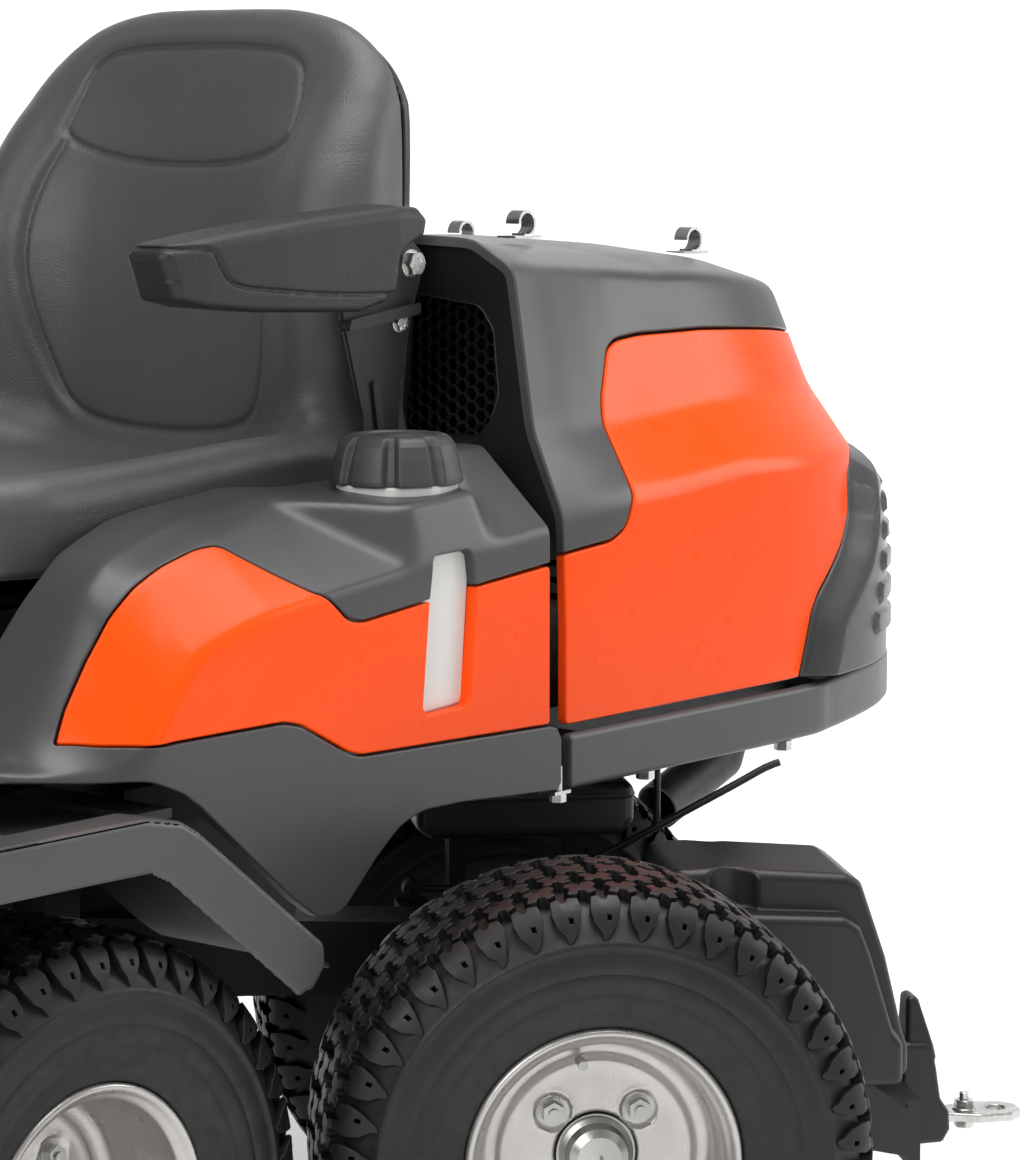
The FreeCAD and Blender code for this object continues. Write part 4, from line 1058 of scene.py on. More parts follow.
def hood_front():
    col = HOOD.P[0]
    half = [(p[1], p[2]) for p in col if p[2] > 700 and p[1] < -0.5]
    prof = half + [(-y, z) for y, z in reversed(half)]
    prof = [(y * 0.985, 700 + (z - 700) * 0.985) for y, z in prof]
    wall = Flat((599, 0, 0), (0, 1, 0), (0, 0, 1), (-1, 0, 0))
    hole = round_poly(INTAKE, 16)
    front = panel(wall, np.array(prof), T=4, wall=5, r=1.5, g=14, step=7, holes=[hole])
    # tunnel wall down to the grille, with a rolled lip
    big = resample(hole, 6)
    big = big if poly_area(big) > 0 else big[::-1]
    rows = [(598.2, -1.0), (599.5, -0.2), (603, 0.6), (620, 3.0), (629, 3.6), (629, -1.5), (603, -3.0), (600, -3.0)]
    V, F = [], []
    m = len(big)
    for x, d in rows:
        q, _ = offset_loop(big, d)
        V += [(x, p[0], p[1]) for p in q]
    for i in range(len(rows)):
        a, b = i * m, ((i + 1) % len(rows)) * m
        for k in range(m):
            k2 = (k + 1) % m
            F.append((a + k, b + k, b + k2, a + k2))
    tun = (np.array(V, float), F, None)
    return front, tun


def honeycomb(outline, x0, x1, pitch=13.0, wall=2.0):
    """Hexagon mesh as one body: cells with draft, shared walls, closed border."""
    R = pitch / math.sqrt(3)
    poly = np.array(outline, float)
    lo, hi = poly.min(0), poly.max(0)
    cells = []
    ny = int((hi[1] - lo[1]) / pitch) + 2
    nx = int((hi[0] - lo[0]) / (1.5 * R)) + 2
    idx = {}
    for i in range(nx):
        for j in range(ny):
            c = np.array([lo[0] + 1.5 * R * i, lo[1] + pitch * (j + 0.5 * (i % 2))])
            if inside(poly, c[None])[0] or dist_poly(poly, c[None])[0] < pitch * 0.5:
                idx[(i, j)] = len(cells)
                cells.append((i, j, c))
    V, F, key = [], [], {}

    def vert(y, z, x):
        k = (round(y * 20), round(z * 20), round(x * 20))
        if k not in key:
            key[k] = len(V)
            V.append((x, y, z))
        return key[k]
    for i, j, c in cells:
        out = [c + R * np.array([math.cos(math.radians(60 * q)), math.sin(math.radians(60 * q))]) for q in range(6)]
        r1 = R - wall / 2 / math.cos(math.radians(30)) * 0.8
        r2 = R - wall / 2 / math.cos(math.radians(30)) * 1.5
        f1 = [c + r1 * np.array([math.cos(math.radians(60 * q)), math.sin(math.radians(60 * q))]) for q in range(6)]
        f2 = [c + r2 * np.array([math.cos(math.radians(60 * q)), math.sin(math.radians(60 * q))]) for q in range(6)]
        o0 = [vert(p[0], p[1], x0) for p in out]
        o1 = [vert(p[0], p[1], x1) for p in out]
        a = [vert(p[0], p[1], x0 + 0.0) for p in f1]
        a2 = [vert(p[0], p[1], x0 + 1.2) for p in f2]
        b = [vert(p[0], p[1], x1) for p in f2]
        for q in range(6):
            w = (q + 1) % 6
            F.append((o0[q], a[q], a[w], o0[w]))
            F.append((a[q], a2[q], a2[w], a[w]))
            F.append((a2[q], b[q], b[w], a2[w]))
            F.append((b[q], o1[q], o1[w], b[w]))
            # border wall where no neighbour shares this side
            mid = (out[q] + out[w]) / 2
            nb = c + 2 * (mid - c)
            shared = False
            for di, dj in ((1, 0), (-1, 0), (0, 1), (0, -1), (1, 1), (1, -1), (-1, 1), (-1, -1)):
                t = idx.get((i + di, j + dj))
                if t is not None and np.linalg.norm(cells[t][2] - nb) < 1.0:
                    shared = True
            if not shared:
                F.append((o0[q], o0[w], o1[w], o1[q]))
    return np.array(V, float), F, None
_side, _top, _back = hood_parts()
make("hood_side_panel_left", _side, M_ORANGE, "hood", "hood_panels")
make("hood_side_panel_right", mirrored(_side), M_ORANGE, "hood", "hood_panels")
make("hood_top_shell", _top, M_GREY, "hood", "hood_shell")
make("hood_rear_vent", _back, M_GREY, "hood", "hood_vent")
_front, _tun = hood_front()
make("hood_front_wall", _front, M_BLACK, "hood", "hood_shell", sharp=35)
make("hood_intake_tunnel", _tun, M_BLACK, "hood", "hood_shell", sharp=40)
_hole = round_poly([(y * 0.99, 856 + (z - 856) * 0.99) for y, z in INTAKE], 16)
make("hood_honeycomb", honeycomb(_hole, 619, 623, wall=1.5), M_GRILLE, "hood", "hood_grille", sharp=25)



def plate_yz(poly, x0, x1):
    P = np.asarray(poly, float)
    n = len(P)
    V = [(x0, p[0], p[1]) for p in P] + [(x1, p[0], p[1]) for p in P]
    F = [(k, (k + 1) % n, n + (k + 1) % n, n + k) for k in range(n)]
    F += [tuple(range(n - 1, -1, -1)), tuple(range(n, 2 * n))]
    return np.array(V, float), F, None


# painted shade: a near-black sheet behind the honeycomb makes the holes read as the dark inside of the intake
_shade_outline = round_poly([(y * 1.03, 856 + (z - 856) * 1.03) for y, z in INTAKE], 16)
make("hood_intake_painted_shade", plate_yz(_shade_outline, 636.0, 638.0), M_INTAKE_SHADE, "hood", "hood_grille", sharp=40)
# ------------------------------------------------------------------ side covers
# stations along x; keys (y, z): skirt edge, crease, facet top, ledge edge, ledge, inner edge
SX = [-92, -78, -13, 18, 41, 74, 98, 125, 171, 204, 269, 300, 325, 350, 376, 389, 478, 488, 500, 515, 530, 575]
SK = [
    [(-341, 588), (-340, 592), (-330, 598), (-328, 599), (-322, 600), (-262, 601)],
    [(-345, 588), (-344, 592), (-330, 598), (-328, 599), (-322, 600), (-262, 601)],
    [(-368, 580), (-366, 584), (-332, 590), (-330, 591), (-321, 593), (-262, 595)],
    [(-379, 573), (-377, 580), (-338, 617), (-336, 619), (-320, 627), (-262, 629)],
    [(-388, 570), (-386, 578), (-340, 645), (-338, 647), (-322, 658), (-262, 661)],
    [(-399, 563), (-400, 597), (-342, 694), (-340, 696), (-322, 712), (-262, 716)],
    [(-400, 555), (-400, 634), (-346, 710), (-343, 713), (-318, 730), (-262, 734)],
    [(-400, 541), (-400, 664), (-346, 722), (-343, 724), (-314, 739), (-262, 744)],
    [(-400, 505), (-400, 678), (-344, 732), (-341, 734), (-310, 751), (-262, 756)],
    [(-400, 478), (-400, 686), (-339, 740), (-336, 742), (-306, 758), (-262, 762)],
    [(-400, 431), (-400, 695), (-322, 755), (-319, 757), (-300, 765), (-262, 768)],
    [(-400, 441), (-400, 699), (-312, 763), (-310, 765), (-298, 769), (-262, 771)],
    [(-400, 458), (-400, 702), (-340, 745), (-331, 764), (-300, 768), (-262, 770)],
    [(-400, 475), (-400, 705), (-369, 727), (-352, 762), (-310, 766), (-262, 768)],
    [(-400, 490), (-400, 708), (-399, 710), (-373, 759), (-320, 764), (-262, 766)],
    [(-400, 495), (-400, 709), (-399, 712), (-382, 758), (-320, 764), (-262, 766)],
    [(-400, 498), (-400, 716), (-399, 719), (-382, 765), (-320, 767), (-262, 768)],
    [(-400, 498), (-400, 718), (-398, 721), (-372, 748), (-330, 772), (-262, 773)],
    [(-400, 498), (-400, 719), (-398, 722), (-360, 757), (-334, 780), (-262, 782)],
    [(-400, 497), (-400, 720), (-398, 723), (-350, 767), (-328, 787), (-262, 789)],
    [(-400, 496), (-400, 722), (-398, 725), (-340, 777), (-322, 793), (-262, 794)],
    [(-400, 494), (-400, 725), (-398, 728), (-340, 778), (-322, 794), (-262, 795)],
]
SX0, SW0, SSTEP = -92.0, 400.0, 3.0


def side_table():
    xs = np.arange(SX0, 575.1, SSTEP)
    K = lerp_rows(SX, SK, xs)
    ws = np.arange(SW0, 950.1, SSTEP)
    P = np.zeros((len(xs), len(ws), 3))
    for i, x in enumerate(xs):
        y, z = K[i, :, 0], K[i, :, 1]
        w = z + (y + 400)
        w = np.maximum.accumulate(w + np.arange(len(w)) * 1e-3)
        yy = np.interp(ws, w, y)
        zz = np.interp(ws, w, z)
        low = ws < w[0]
        zz[low] = z[0] + (ws[low] - w[0])
        hi = ws > w[-1]
        yy[hi] = y[-1] + (ws[hi] - w[-1])
        P[i, :, 0], P[i, :, 1], P[i, :, 2] = x, yy, zz
    P = gauss(gauss(P, 1.7, 1), 1.7, 0)
    return P


_SP = side_table()
SIDE = Surf(_SP, SSTEP, SSTEP)
if SIDE.N[100, 60][1] > 0:
    SIDE = Surf(_SP, SSTEP, SSTEP, flip=True)
O_BOT = [(107, 252), (168, 197), (189, 198), (312, 198), (333, 193), (390, 163), (405, 159), (650, 153)]
O_TOP = [(650, 294), (549, 285), (492, 279), (408, 270), (390, 273), (366, 294), (354, 306), (303, 393), (294, 399), (273, 399), (234, 387), (198, 369), (171, 348), (147, 318), (123, 282)]
WIN_LOW = [(549, 285), (540, 192), (537, 185), (489, 183), (483, 189), (492, 279)]
WIN_TOP = [(549, 285), (545, 313), (540, 318), (501, 317), (497, 311), (492, 279)]


def side_parts():
    orange = O_BOT + [O_TOP[0]] + WIN_LOW + O_TOP[3:]
    rad = [5, 40, 60, 30, 30, 40, 30, 5, 5, 2, 2, 5, 5, 4, 2, 30, 24, 30, 30, 30, 20, 30, 60, 60, 60, 60, 60, 60]
    ol = round_poly(orange, rad[:len(orange)])
    pan = panel(SIDE, ol, T=4, wall=11, r=1.8, g=6.5, step=3.6, gap=1.2)
    hole = O_BOT[:-1] + [(664, 153), (664, 294)] + [WIN_TOP[0]] + WIN_TOP[1:] + O_TOP[3:]
    hrad = [5, 40, 60, 30, 30, 40, 30, 0, 0, 2, 4, 4, 4, 4, 2, 30, 24, 30, 30, 30, 20, 30, 60, 60, 60, 60, 60, 60]
    skirt = [(-10, 240), (51, 222), (174, 166), (197, 156), (216, 143), (324, 50), (350, 32), (369, 30), (384, 34), (423, 70), (453, 93), (483, 101), (531, 101), (660, 93), (666, 100), (666, 140), (660, 150)]
    srad = [10, 60, 40, 30, 30, 16, 20, 16, 20, 60, 60, 40, 60, 4, 4, 6, 3]
    top = [(650, 295), (650, 322), (651, 474), (645, 530), (560, 533), (450, 533), (261, 506), (192, 470), (155, 438), (120, 395), (60, 345), (-10, 338)]
    trad = [2, 6, 12, 12, 30, 40, 60, 60, 60, 60, 40, 10]
    # outer loop of the grey moulding runs down the seam on its open rear side
    grey = skirt + O_BOT[::-1][:-1][:0]
    outline = skirt + [(650, 153)] + O_BOT[:-1][::-1] + O_TOP[::-1][:12] + WIN_TOP[::-1][:-1] + [(549, 285)] + top
    orad = srad + [3] + [30, 40, 30, 30, 60, 40, 5] + [60, 60, 60, 60, 60, 30, 20, 30, 30, 30, 24, 30] + [2, 4, 4, 4, 4] + [2] + trad
    gp = panel(SIDE, round_poly(outline, orad[:len(outline)]), T=4, wall=11, r=2.0, g=6.5, step=3.6, gap=0.9)
    return pan, gp


_pan, _grey = side_parts()
make("side_inset_left", _pan, M_ORANGE, "chassis", "side_panels")
make("side_inset_right", mirrored(_pan), M_ORANGE, "chassis", "side_panels")
make("side_moulding_left", _grey, M_GREY, "chassis", "side_cover_left")
make("side_moulding_right", mirrored(_grey), M_GREY, "chassis", "side_cover_right")
_win = Flat((0, -389.5, 0), (1, 0, 0), (0, 0, 1), (0, -1, 0))
_wp = round_poly([(390, 582), (449, 586), (460, 718), (402, 720)], 4)
make("fuel_sight_strip", panel(_win, _wp, T=3, wall=3, r=0.6, g=12, step=6), M_WHITE, "chassis")
make("blank_strip_right", mirrored(panel(_win, _wp, T=3, wall=3, r=0.6, g=12, step=6)), M_BLACK, "chassis")
# ------------------------------------------------------------------ wheels
TR = 231.5
ENV = [(0, 231.5), (40, 230.9), (62, 229.3), (74, 226.6), (84, 221.8), (92, 213), (97, 201), (99.5, 190), (100.5, 178)]
NLUG = 42


def tyre_env():
    p = smooth_path([(a, r, 0) for a, r in ENV], 2.0)[:, :2]
    d = np.r_[0, np.cumsum(np.linalg.norm(np.diff(p, axis=0), axis=1))]
    return d, p


_TD, _TP = tyre_env()


def tyre_surf():
    ss = np.arange(-45, 45.1, 3.0)
    tt = np.arange(-132, 132.1, 3.0)
    P = np.zeros((len(ss), len(tt), 3))
    a = np.interp(np.abs(tt), _TD, _TP[:, 0]) * np.sign(tt)
    r = np.interp(np.abs(tt), _TD, _TP[:, 1])
    for i, s in enumerate(ss):
        th = s / TR
        P[i, :, 0] = r * math.sin(th)
        P[i, :, 1] = a
        P[i, :, 2] = r * math.cos(th)
    S = Surf(P, 3.0, 3.0)
    if S.N[15, 44][2] < 0:
        S = Surf(P, 3.0, 3.0, flip=True)
    return S


def lug(S, pts, rad=1.5, holes=(), wall=10.0):
    q = [(s + 45, t + 132) for s, t in pts]
    o = round_poly(q, rad, seg=2)
    hs = [np.array([(s + 45, t + 132) for s, t in h], float) for h in holes]
    return panel(S, o, T=wall, wall=wall, r=0.9, g=8.0, step=9.0, holes=hs)


def spin(part, ang, s=1.0):
    V, F, N = part
    c, k = math.cos(ang), math.sin(ang)
    W = V.copy()
    W[:, 0] = V[:, 0] * c + V[:, 2] * k
    W[:, 2] = -V[:, 0] * k + V[:, 2] * c
    M = None
    if N is not None:
        M = N.copy()
        M[:, 0] = N[:, 0] * c + N[:, 2] * k
        M[:, 2] = -N[:, 0] * k + N[:, 2] * c
    return W, F, M


def flip_a(part):
    # the same block on the other half of the tread, turned half a turn
    V, F, N = part
    R = np.array([-1, -1, 1.0])
    return V * R, F, None if N is None else N * R


SHO = [(-12, 81), (-5, 78.5), (-3.5, 84), (0.5, 85), (3, 79), (11.5, 80.5), (13.5, 92), (10.5, 104), (2.5, 118), (-3.5, 121.5), (-5.5, 113), (-11.5, 106), (-14, 94)]
SHO_H = [[(0.5, 99), (4.5, 99.5), (4.5, 104.5), (0.5, 104)]]
MID = [(-12, 54), (-5, 51), (-4.5, 57), (-0.5, 58.5), (2.5, 51), (11.5, 50), (14, 57), (9.5, 63), (12.5, 71), (5, 75.5), (2.5, 69.5), (-2.5, 69), (-4.5, 75.5), (-13, 74), (-9.5, 65), (-14, 59)]
INN = [(-13, 23), (-5, 20), (-3.5, 27), (1, 28), (3, 20), (11, 21), (14, 29), (9, 34), (13, 43), (4, 46.5), (1.5, 40), (-3, 41), (-5, 46.5), (-12, 44), (-9, 35), (-14, 30)]
CEN = [(-13, -14), (-4, -16.5), (-2, -10), (3, -9), (6, -16), (13, -13), (10, -4), (14, 0), (10, 5), (13, 14), (4, 16.5), (2, 10), (-3, 9), (-6, 16), (-13, 13), (-10, 4), (-14, 0), (-10, -5)]


def tyre():
    S = tyre_surf()
    pitch = 2 * math.pi / NLUG
    units = [(lug(S, SHO, 2.2, SHO_H), 0.0), (lug(S, MID, 1.0), 0.5), (lug(S, INN, 1.0), 0.02), (lug(S, CEN, 1.0), 0.52)]
    parts = []
    for k in range(NLUG):
        for q, (u, ph) in enumerate(units):
            parts.append(spin(u, (k + ph) * pitch))
            if q < 3:
                parts.append(spin(flip_a(u), (k + 0.42 - ph) * pitch))
    V, F, N = joined(parts)
    # carcass with rim cushion, decor ring and fine moulding rings on the sidewall
    half = [(0, 222.5), (40, 222), (62, 220.2), (76, 214.5), (86, 206), (93, 197.5), (96.5, 192.5), (98.8, 190.2), (100.2, 188.2), (100.6, 186.4), (100.0, 184.8),
            (99.2, 183.2), (99.6, 180), (100.4, 172), (100.4, 164), (99.9, 163.2), (100.3, 162.4), (99.6, 156), (98.4, 149), (97.3, 146.4), (97.6, 145.4), (95.9, 140), (92.8, 132.5),
            (90.4, 127.6), (90.2, 126.2), (88.3, 123.2), (86.6, 119), (85.6, 116.4), (83.4, 115.4), (79, 115.0)]
    inn = [(66, 102.3), (66, 118), (80, 134), (88, 150), (89, 180), (84, 202), (66, 213), (0, 216)]
    prof = [(-a, r) for a, r in half[::-1][:-1]] + half + inn + [(-a, r) for a, r in inn[::-1][1:]]
    C = lathe(prof, (0, 0, 0), (0, 1, 0), seg=168)
    return (V, F, N), C


def rim(d):
    """Pressed steel wheel: rolled lips, drop centre, dished disc with bolt seats."""
    front = [(80.5, 114.6), (84.5, 114.9), (87.0, 113.6), (88.0, 111.6), (87.2, 109.4), (84.5, 107.6), (81.2, 104.6), (79.2, 101.6), (76, 100.2), (70, 99.4)]
    n = max(2, int((70 - (d + 12)) / 6))
    barrel = [(70 - (70 - (d + 12)) * k / n, 99.4 - 0.6 * k / n) for k in range(1, n + 1)]
    disc = [(d + 8, 97.6), (d + 4.2, 94.8), (d + 1.6, 91), (d + 0.4, 87), (d + 0.6, 84.4), (d + 1.8, 82.2), (d + 3.4, 80.6), (d + 4.0, 78.4), (d + 3.8, 76), (d + 3.0, 73.4), (d + 2.5, 70), (d + 2.4, 66)]
    disc += [(d + 2.4, r) for r in np.linspace(64, 38, 18)]
    disc += [(d + 2.1, 36.2), (d + 1.2, 35.0), (d - 0.5, 34.6), (d - 3.0, 34.6), (d - 3.0, 36)]
    back = [(d - 3.0, 60), (d - 4, 84), (d - 1, 92), (d + 2, 96.2), (d - 12, 96.4), (-60, 94), (-76, 96.4), (-81, 101), (-84.5, 104.6), (-87.2, 106.6), (-88, 111.6), (-87, 113.6), (-84.5, 114.9), (-80.5, 114.6),
            (-80, 106), (-76, 101.6), (-60, 97.4), (0, 97.4), (60, 102.2), (76, 102.6), (79.6, 106)]
    prof = front + barrel + disc + back
    V, F, N = lathe(prof, (0, 0, 0), (0, 1, 0), seg=180, ref=(0, 0, 1))
    V = V.copy()
    # bolt seats sunk into the disc, each ringed by a raised lip
    for k in range(4):
        t = math.radians(45 + 90 * k)
        c = np.array([50.8 * math.cos(t), 50.8 * math.sin(t)])
        q = np.hypot(V[:, 0] - c[0], V[:, 2] - c[1])
        m = (V[:, 1] > d - 2) & (q < 19)
        w = np.clip((17.2 - q) / 3.2, 0, 1)
        w = w * w * (3 - 2 * w)
        lip = np.exp(-((q - 17.0) / 1.4) ** 2) * 0.7
        V[m, 1] += (lip - 2.4 * w)[m]
    return V, F, None


_tread, _carc = tyre()
_RIMS = {}
for _nm, _cx, _cy, _sd, _da, _bd in (("front_left", 0.0, -320.2, -1, -4.0, "wheel_front_left"), ("front_right", 0.0, 320.2, 1, -4.0, "wheel_front_right"),
                                     ("rear_left", RX, -287.9, -1, 41.0, "wheel_rear_left"), ("rear_right", RX, 287.9, 1, 41.0, "wheel_rear_right")):
    if _da not in _RIMS:
        _RIMS[_da] = rim(_da)
    for _kind, _part in (("tread", _tread), ("carcass", _carc), ("rim", _RIMS[_da])):
        V, F, N = _part
        s = np.array([1.0, _sd, 1.0])
        W = V * s + np.array([_cx, _cy, TR])
        G = F if _sd > 0 else [f[::-1] for f in F]
        M = None if N is None else N * s
        pt = (W, G, M)
        if "rear" in _nm:
            pt = steered(pt)
        if _kind == "rim":
            make("wheel_disc_" + _nm, pt, M_RIM, _bd, "rim_" + _nm, sharp=50)
        else:
            make("tyre_%s_%s" % (_kind, _nm), pt, M_TYRE, _bd, "tyre_" + _nm, sharp=None if _kind == "tread" else 50)
# ------------------------------------------------------------------ seat
SY = np.arange(0, 271, 1.5)
SZ = np.arange(700, 1192, 1.5)
_zz = [700, 793, 850, 910, 966, 1000, 1030, 1063, 1090, 1115, 1140, 1192]
_yy = [0, 60, 110, 135, 155, 175, 190, 215, 272]
_xf = [[480, 479, 474, 468, 455, 441, 436, 435, 435],
       [487, 486, 482, 476, 465, 452, 444, 441, 440],
       [494, 492, 485, 475, 461, 448, 441, 438, 437],
       [501, 497, 486, 472, 457, 445, 438, 435, 434],
       [508, 503, 490, 476, 460, 447, 440, 437, 436],
       [514, 510, 498, 485, 471, 457, 450, 447, 446],
       [520, 517, 506, 495, 482, 466, 459, 458, 458],
       [527, 525, 517, 509, 500, 487, 481, 480, 480],
       [533, 532, 528, 523, 517, 509, 505, 504, 504],
       [538, 537, 535, 533, 530, 526, 524, 523, 523],
       [543, 543, 542, 541, 540, 539, 538, 538, 538],
       [552, 552, 552, 551, 551, 551, 551, 551, 551]]
_t = np.array([np.interp(SY, _yy, r) for r in _xf])
_t = np.array([np.interp(SZ, _zz, _t[:, k]) for k in range(len(SY))])          # (y, z)
_t = np.concatenate([_t[:0:-1], _t])                                           # mirror before smoothing
_t = gauss(gauss(_t, 7.0, 0), 8.0, 1)[len(SY) - 1:]
_hw = [(0, 1183.5), (55, 1183.2), (92, 1181.5), (130, 1175), (160, 1165), (185, 1150), (205, 1132), (219, 1110), (228, 1083), (235, 1050), (241, 1015), (246, 980), (248, 940), (247, 890),
       (243, 845), (240, 800), (240, 640)]
_hw = smooth_path([(a, b, 0) for a, b in _hw], 6.0)[:, :2]
_out = np.concatenate([_hw, [(0, 640)], [(-0.1, 640)], (_hw * [-1, 1])[::-1]])
_dd = signed_field(_out, SY, SZ)
_head = [(0, 1141), (50, 1140.6), (92, 1138), (112, 1133.5), (129, 1124), (135, 1113), (140, 1092), (143, 1072), (142, 1062), (128, 1052), (100, 1043), (64, 1037), (30, 1034.6), (0, 1034)]
_low = [(141, 1054), (148, 1027), (153, 999), (155, 966), (154, 934), (149, 906), (143, 879), (134, 851), (124, 827), (113, 813), (98, 804), (73, 798), (42, 794.5), (0, 793)]
_head = smooth_path([(a, b, 0) for a, b in _head], 4.0)[:, :2]
_low = smooth_path([(a, b, 0) for a, b in _low], 4.0)[:, :2]
_gh, _gl = dist_field(_head, False, SY, SZ), dist_field(_low, False, SY, SZ)
_ih = inside_field(np.concatenate([_head, (_head * [-1, 1])[::-1]]), SY, SZ)
_lowp = np.concatenate([_low, (_low * [-1, 1])[::-1]])
_il = inside_field(_lowp, SY, SZ) & ~_ih
_g = np.minimum(_gh, _gl)
_groove = 4.2 * np.exp(-(_g / 2.9) ** 2) - 2.6 * np.where(_ih, 1 - np.exp(-(_gh / 9.0)), 0) - 1.8 * np.where(_il, 1 - np.exp(-(_g / 8.0)), 0) - 1.5 * np.where(~_ih & ~_il, np.exp(-(((_g - 9) / 7.0) ** 2)), 0)
_groove = gauss(gauss(_groove, 0.8, 0), 0.8, 1)
SB_X = F2(0, 700, 1.5, 1.5, _t + _groove)
SB_D = F2(0, 700, 1.5, 1.5, _dd)
PX_ = np.arange(0, 560, 2.0)
PY_ = np.arange(0, 272, 2.0)
_px = [0, 40, 80, 150, 250, 350, 430, 500, 560]
_py = [0, 90, 150, 185, 210, 230, 272]
_pz = [[786, 786, 787, 790, 792, 792, 792],
       [787, 787, 789, 792, 795, 796, 796],
       [784, 784, 786, 790, 793, 794, 794],
       [779, 779, 782, 788, 794, 795, 795],
       [772, 773, 778, 788, 799, 801, 801],
       [765, 767, 775, 789, 804, 809, 809],
       [761, 763, 772, 788, 806, 812, 812],
       [760, 762, 771, 787, 804, 808, 808],
       [760, 762, 771, 787, 802, 805, 805]]
_p = np.array([np.interp(PY_, _py, r) for r in _pz])
_p = np.array([np.interp(PX_, _px, _p[:, k]) for k in range(len(PY_))]).T
_p = np.concatenate([_p[:, :0:-1], _p], 1)
_p = gauss(gauss(_p, 9.0, 0), 6.0, 1)[:, len(PY_) - 1:]
SP_Z = F2(0, 0, 2.0, 2.0, _p)
_po = round_poly([(24, -30), (24, 178), (52, 232), (110, 248), (470, 248), (560, 236), (560, -30)], 60, seg=10)
SP_D = F2(0, 0, 2.0, 2.0, signed_field(_po, PX_, PY_))


def cushion(x, y, z):
    a = np.abs(y)
    # backrest
    front = (SB_X(a, z) - x) * 0.96
    r = np.interp(z, [980, 1047, 1090, 1140, 1180], [60, 64, 58, 40, 30])
    dd = SB_D(a, z) + np.interp(z, [1000, 1090], [0.0055, 0.0016]) * np.maximum(x - 505, 0) ** 2
    back = rmax(front, dd, r)
    back = rmax(back, x - np.interp(z, [1100, 1180], [571, 581]), 7.0)
    # pan
    top = z - SP_Z(x, a)
    pd = SP_D(x, a)
    # the side wall tucks in towards the base
    pan = rmax(top, pd + 0.0035 * np.maximum(770 - z, 0) ** 1.6, 30.0)
    pan = rmax(pan, x - 571, 9.0)
    f = smin(back, pan, 46.0)
    return rmax(f, 713 - z, 8.0)


def shell(x, y, z):
    a = np.abs(y)
    dd = SB_D(a, z) + np.interp(z, [1000, 1090, 1150], [25.0, 8.0, 12.0])
    xr = 597 - 9 * (a / 225) ** 2 - 10 * np.clip((z - 1060) / 110, 0, 1) ** 2 + 5.0 * np.exp(-((np.abs(a - 150) / 9) ** 2)) * np.clip((1110 - z) / 60, 0, 1) * 0.6
    f = rmax(x - xr, dd, 13.0)
    f = np.maximum(f, 571.5 - x)
    return rmax(f, 716 - z, 6.0)


make("seat_vinyl_cushion", solid(cushion, (10, 0, 702), (580, 262, 1184), 3.0), M_VINYL, "seat", ["seat_cushion", "seat_backrest"])
make("seat_rear_shell", solid(shell, (562, 0, 704), (612, 250, 1180), 3.5), M_SHELL, "seat", "seat_shell")
# ------------------------------------------------------------------ armrests, brackets, bolts
_ap = round_poly([(165, 969), (170, 978), (187, 981), (242, 988), (341, 998), (446, 1005), (472, 1003), (485, 993), (481, 977), (462, 970), (447, 961), (440, 934), (428, 922), (397, 915), (276, 920), (214, 926),
                  (181, 933)], 5, seg=3)
_AF = prism_field(_ap)
_AG = line_field(smooth_path([(160, 976, 0), (186, 975.5, 0), (214, 974.5, 0), (222, 970, 0), (229, 959, 0), (238, 949, 0), (252, 943.5, 0), (277, 940.5, 0), (336, 935, 0), (390, 932, 0), (460, 930.5, 0)], 2.0)[:, [0, 1]],
                 (150, 500, 900, 1020))
_sp = [(160, 976), (214, 974.5), (222, 970), (229, 959), (238, 949), (252, 943.5), (277, 940.5), (336, 935), (390, 932), (500, 930)]
_spx, _spz = zip(*_sp)


def arm(x, y, z):
    a = np.abs(y)
    wid = np.interp(x, [165, 215, 300, 440, 485], [25.5, 29, 31.5, 31.5, 27])
    low = 1 / (1 + np.exp((z - np.interp(x, _spx, _spz)) / 0.8))
    g = 2.4 * np.exp(-(_AG(x, z) / 1.9) ** 2)
    d = _AF(x, z) + 0.0016 * a ** 2 * (z > 950)
    base = rmax(d + 1.2 * low, a - wid + 1.6 * low + 0.03 * np.maximum(935 - z, 0), 10.0)
    return base + g


_arm = solid(arm, (155, 0, 905), (495, 40, 1015), 2.2)


def slab(poly, y0, y1, r=1.0, h=1.6):
    """Pressed plate of an XZ outline between y0 and y1 with eased edges."""
    P = np.asarray(poly, float)
    o, _ = offset_loop(P, r)
    loops = [(P * 0 + o, y0), (P, y0 + r), (P, y1 - r), (o, y1)]
    V, F = [], []
    n = len(P)
    for L, y in loops:
        V += [(p[0], y, p[1]) for p in L]
    for i in range(3):
        for k in range(n):
            F.append((i * n + k, i * n + (k + 1) % n, (i + 1) * n + (k + 1) % n, (i + 1) * n + k))
    F.append(tuple(range(n - 1, -1, -1)))
    F.append(tuple(range(3 * n, 4 * n)))
    return np.array(V), F, None


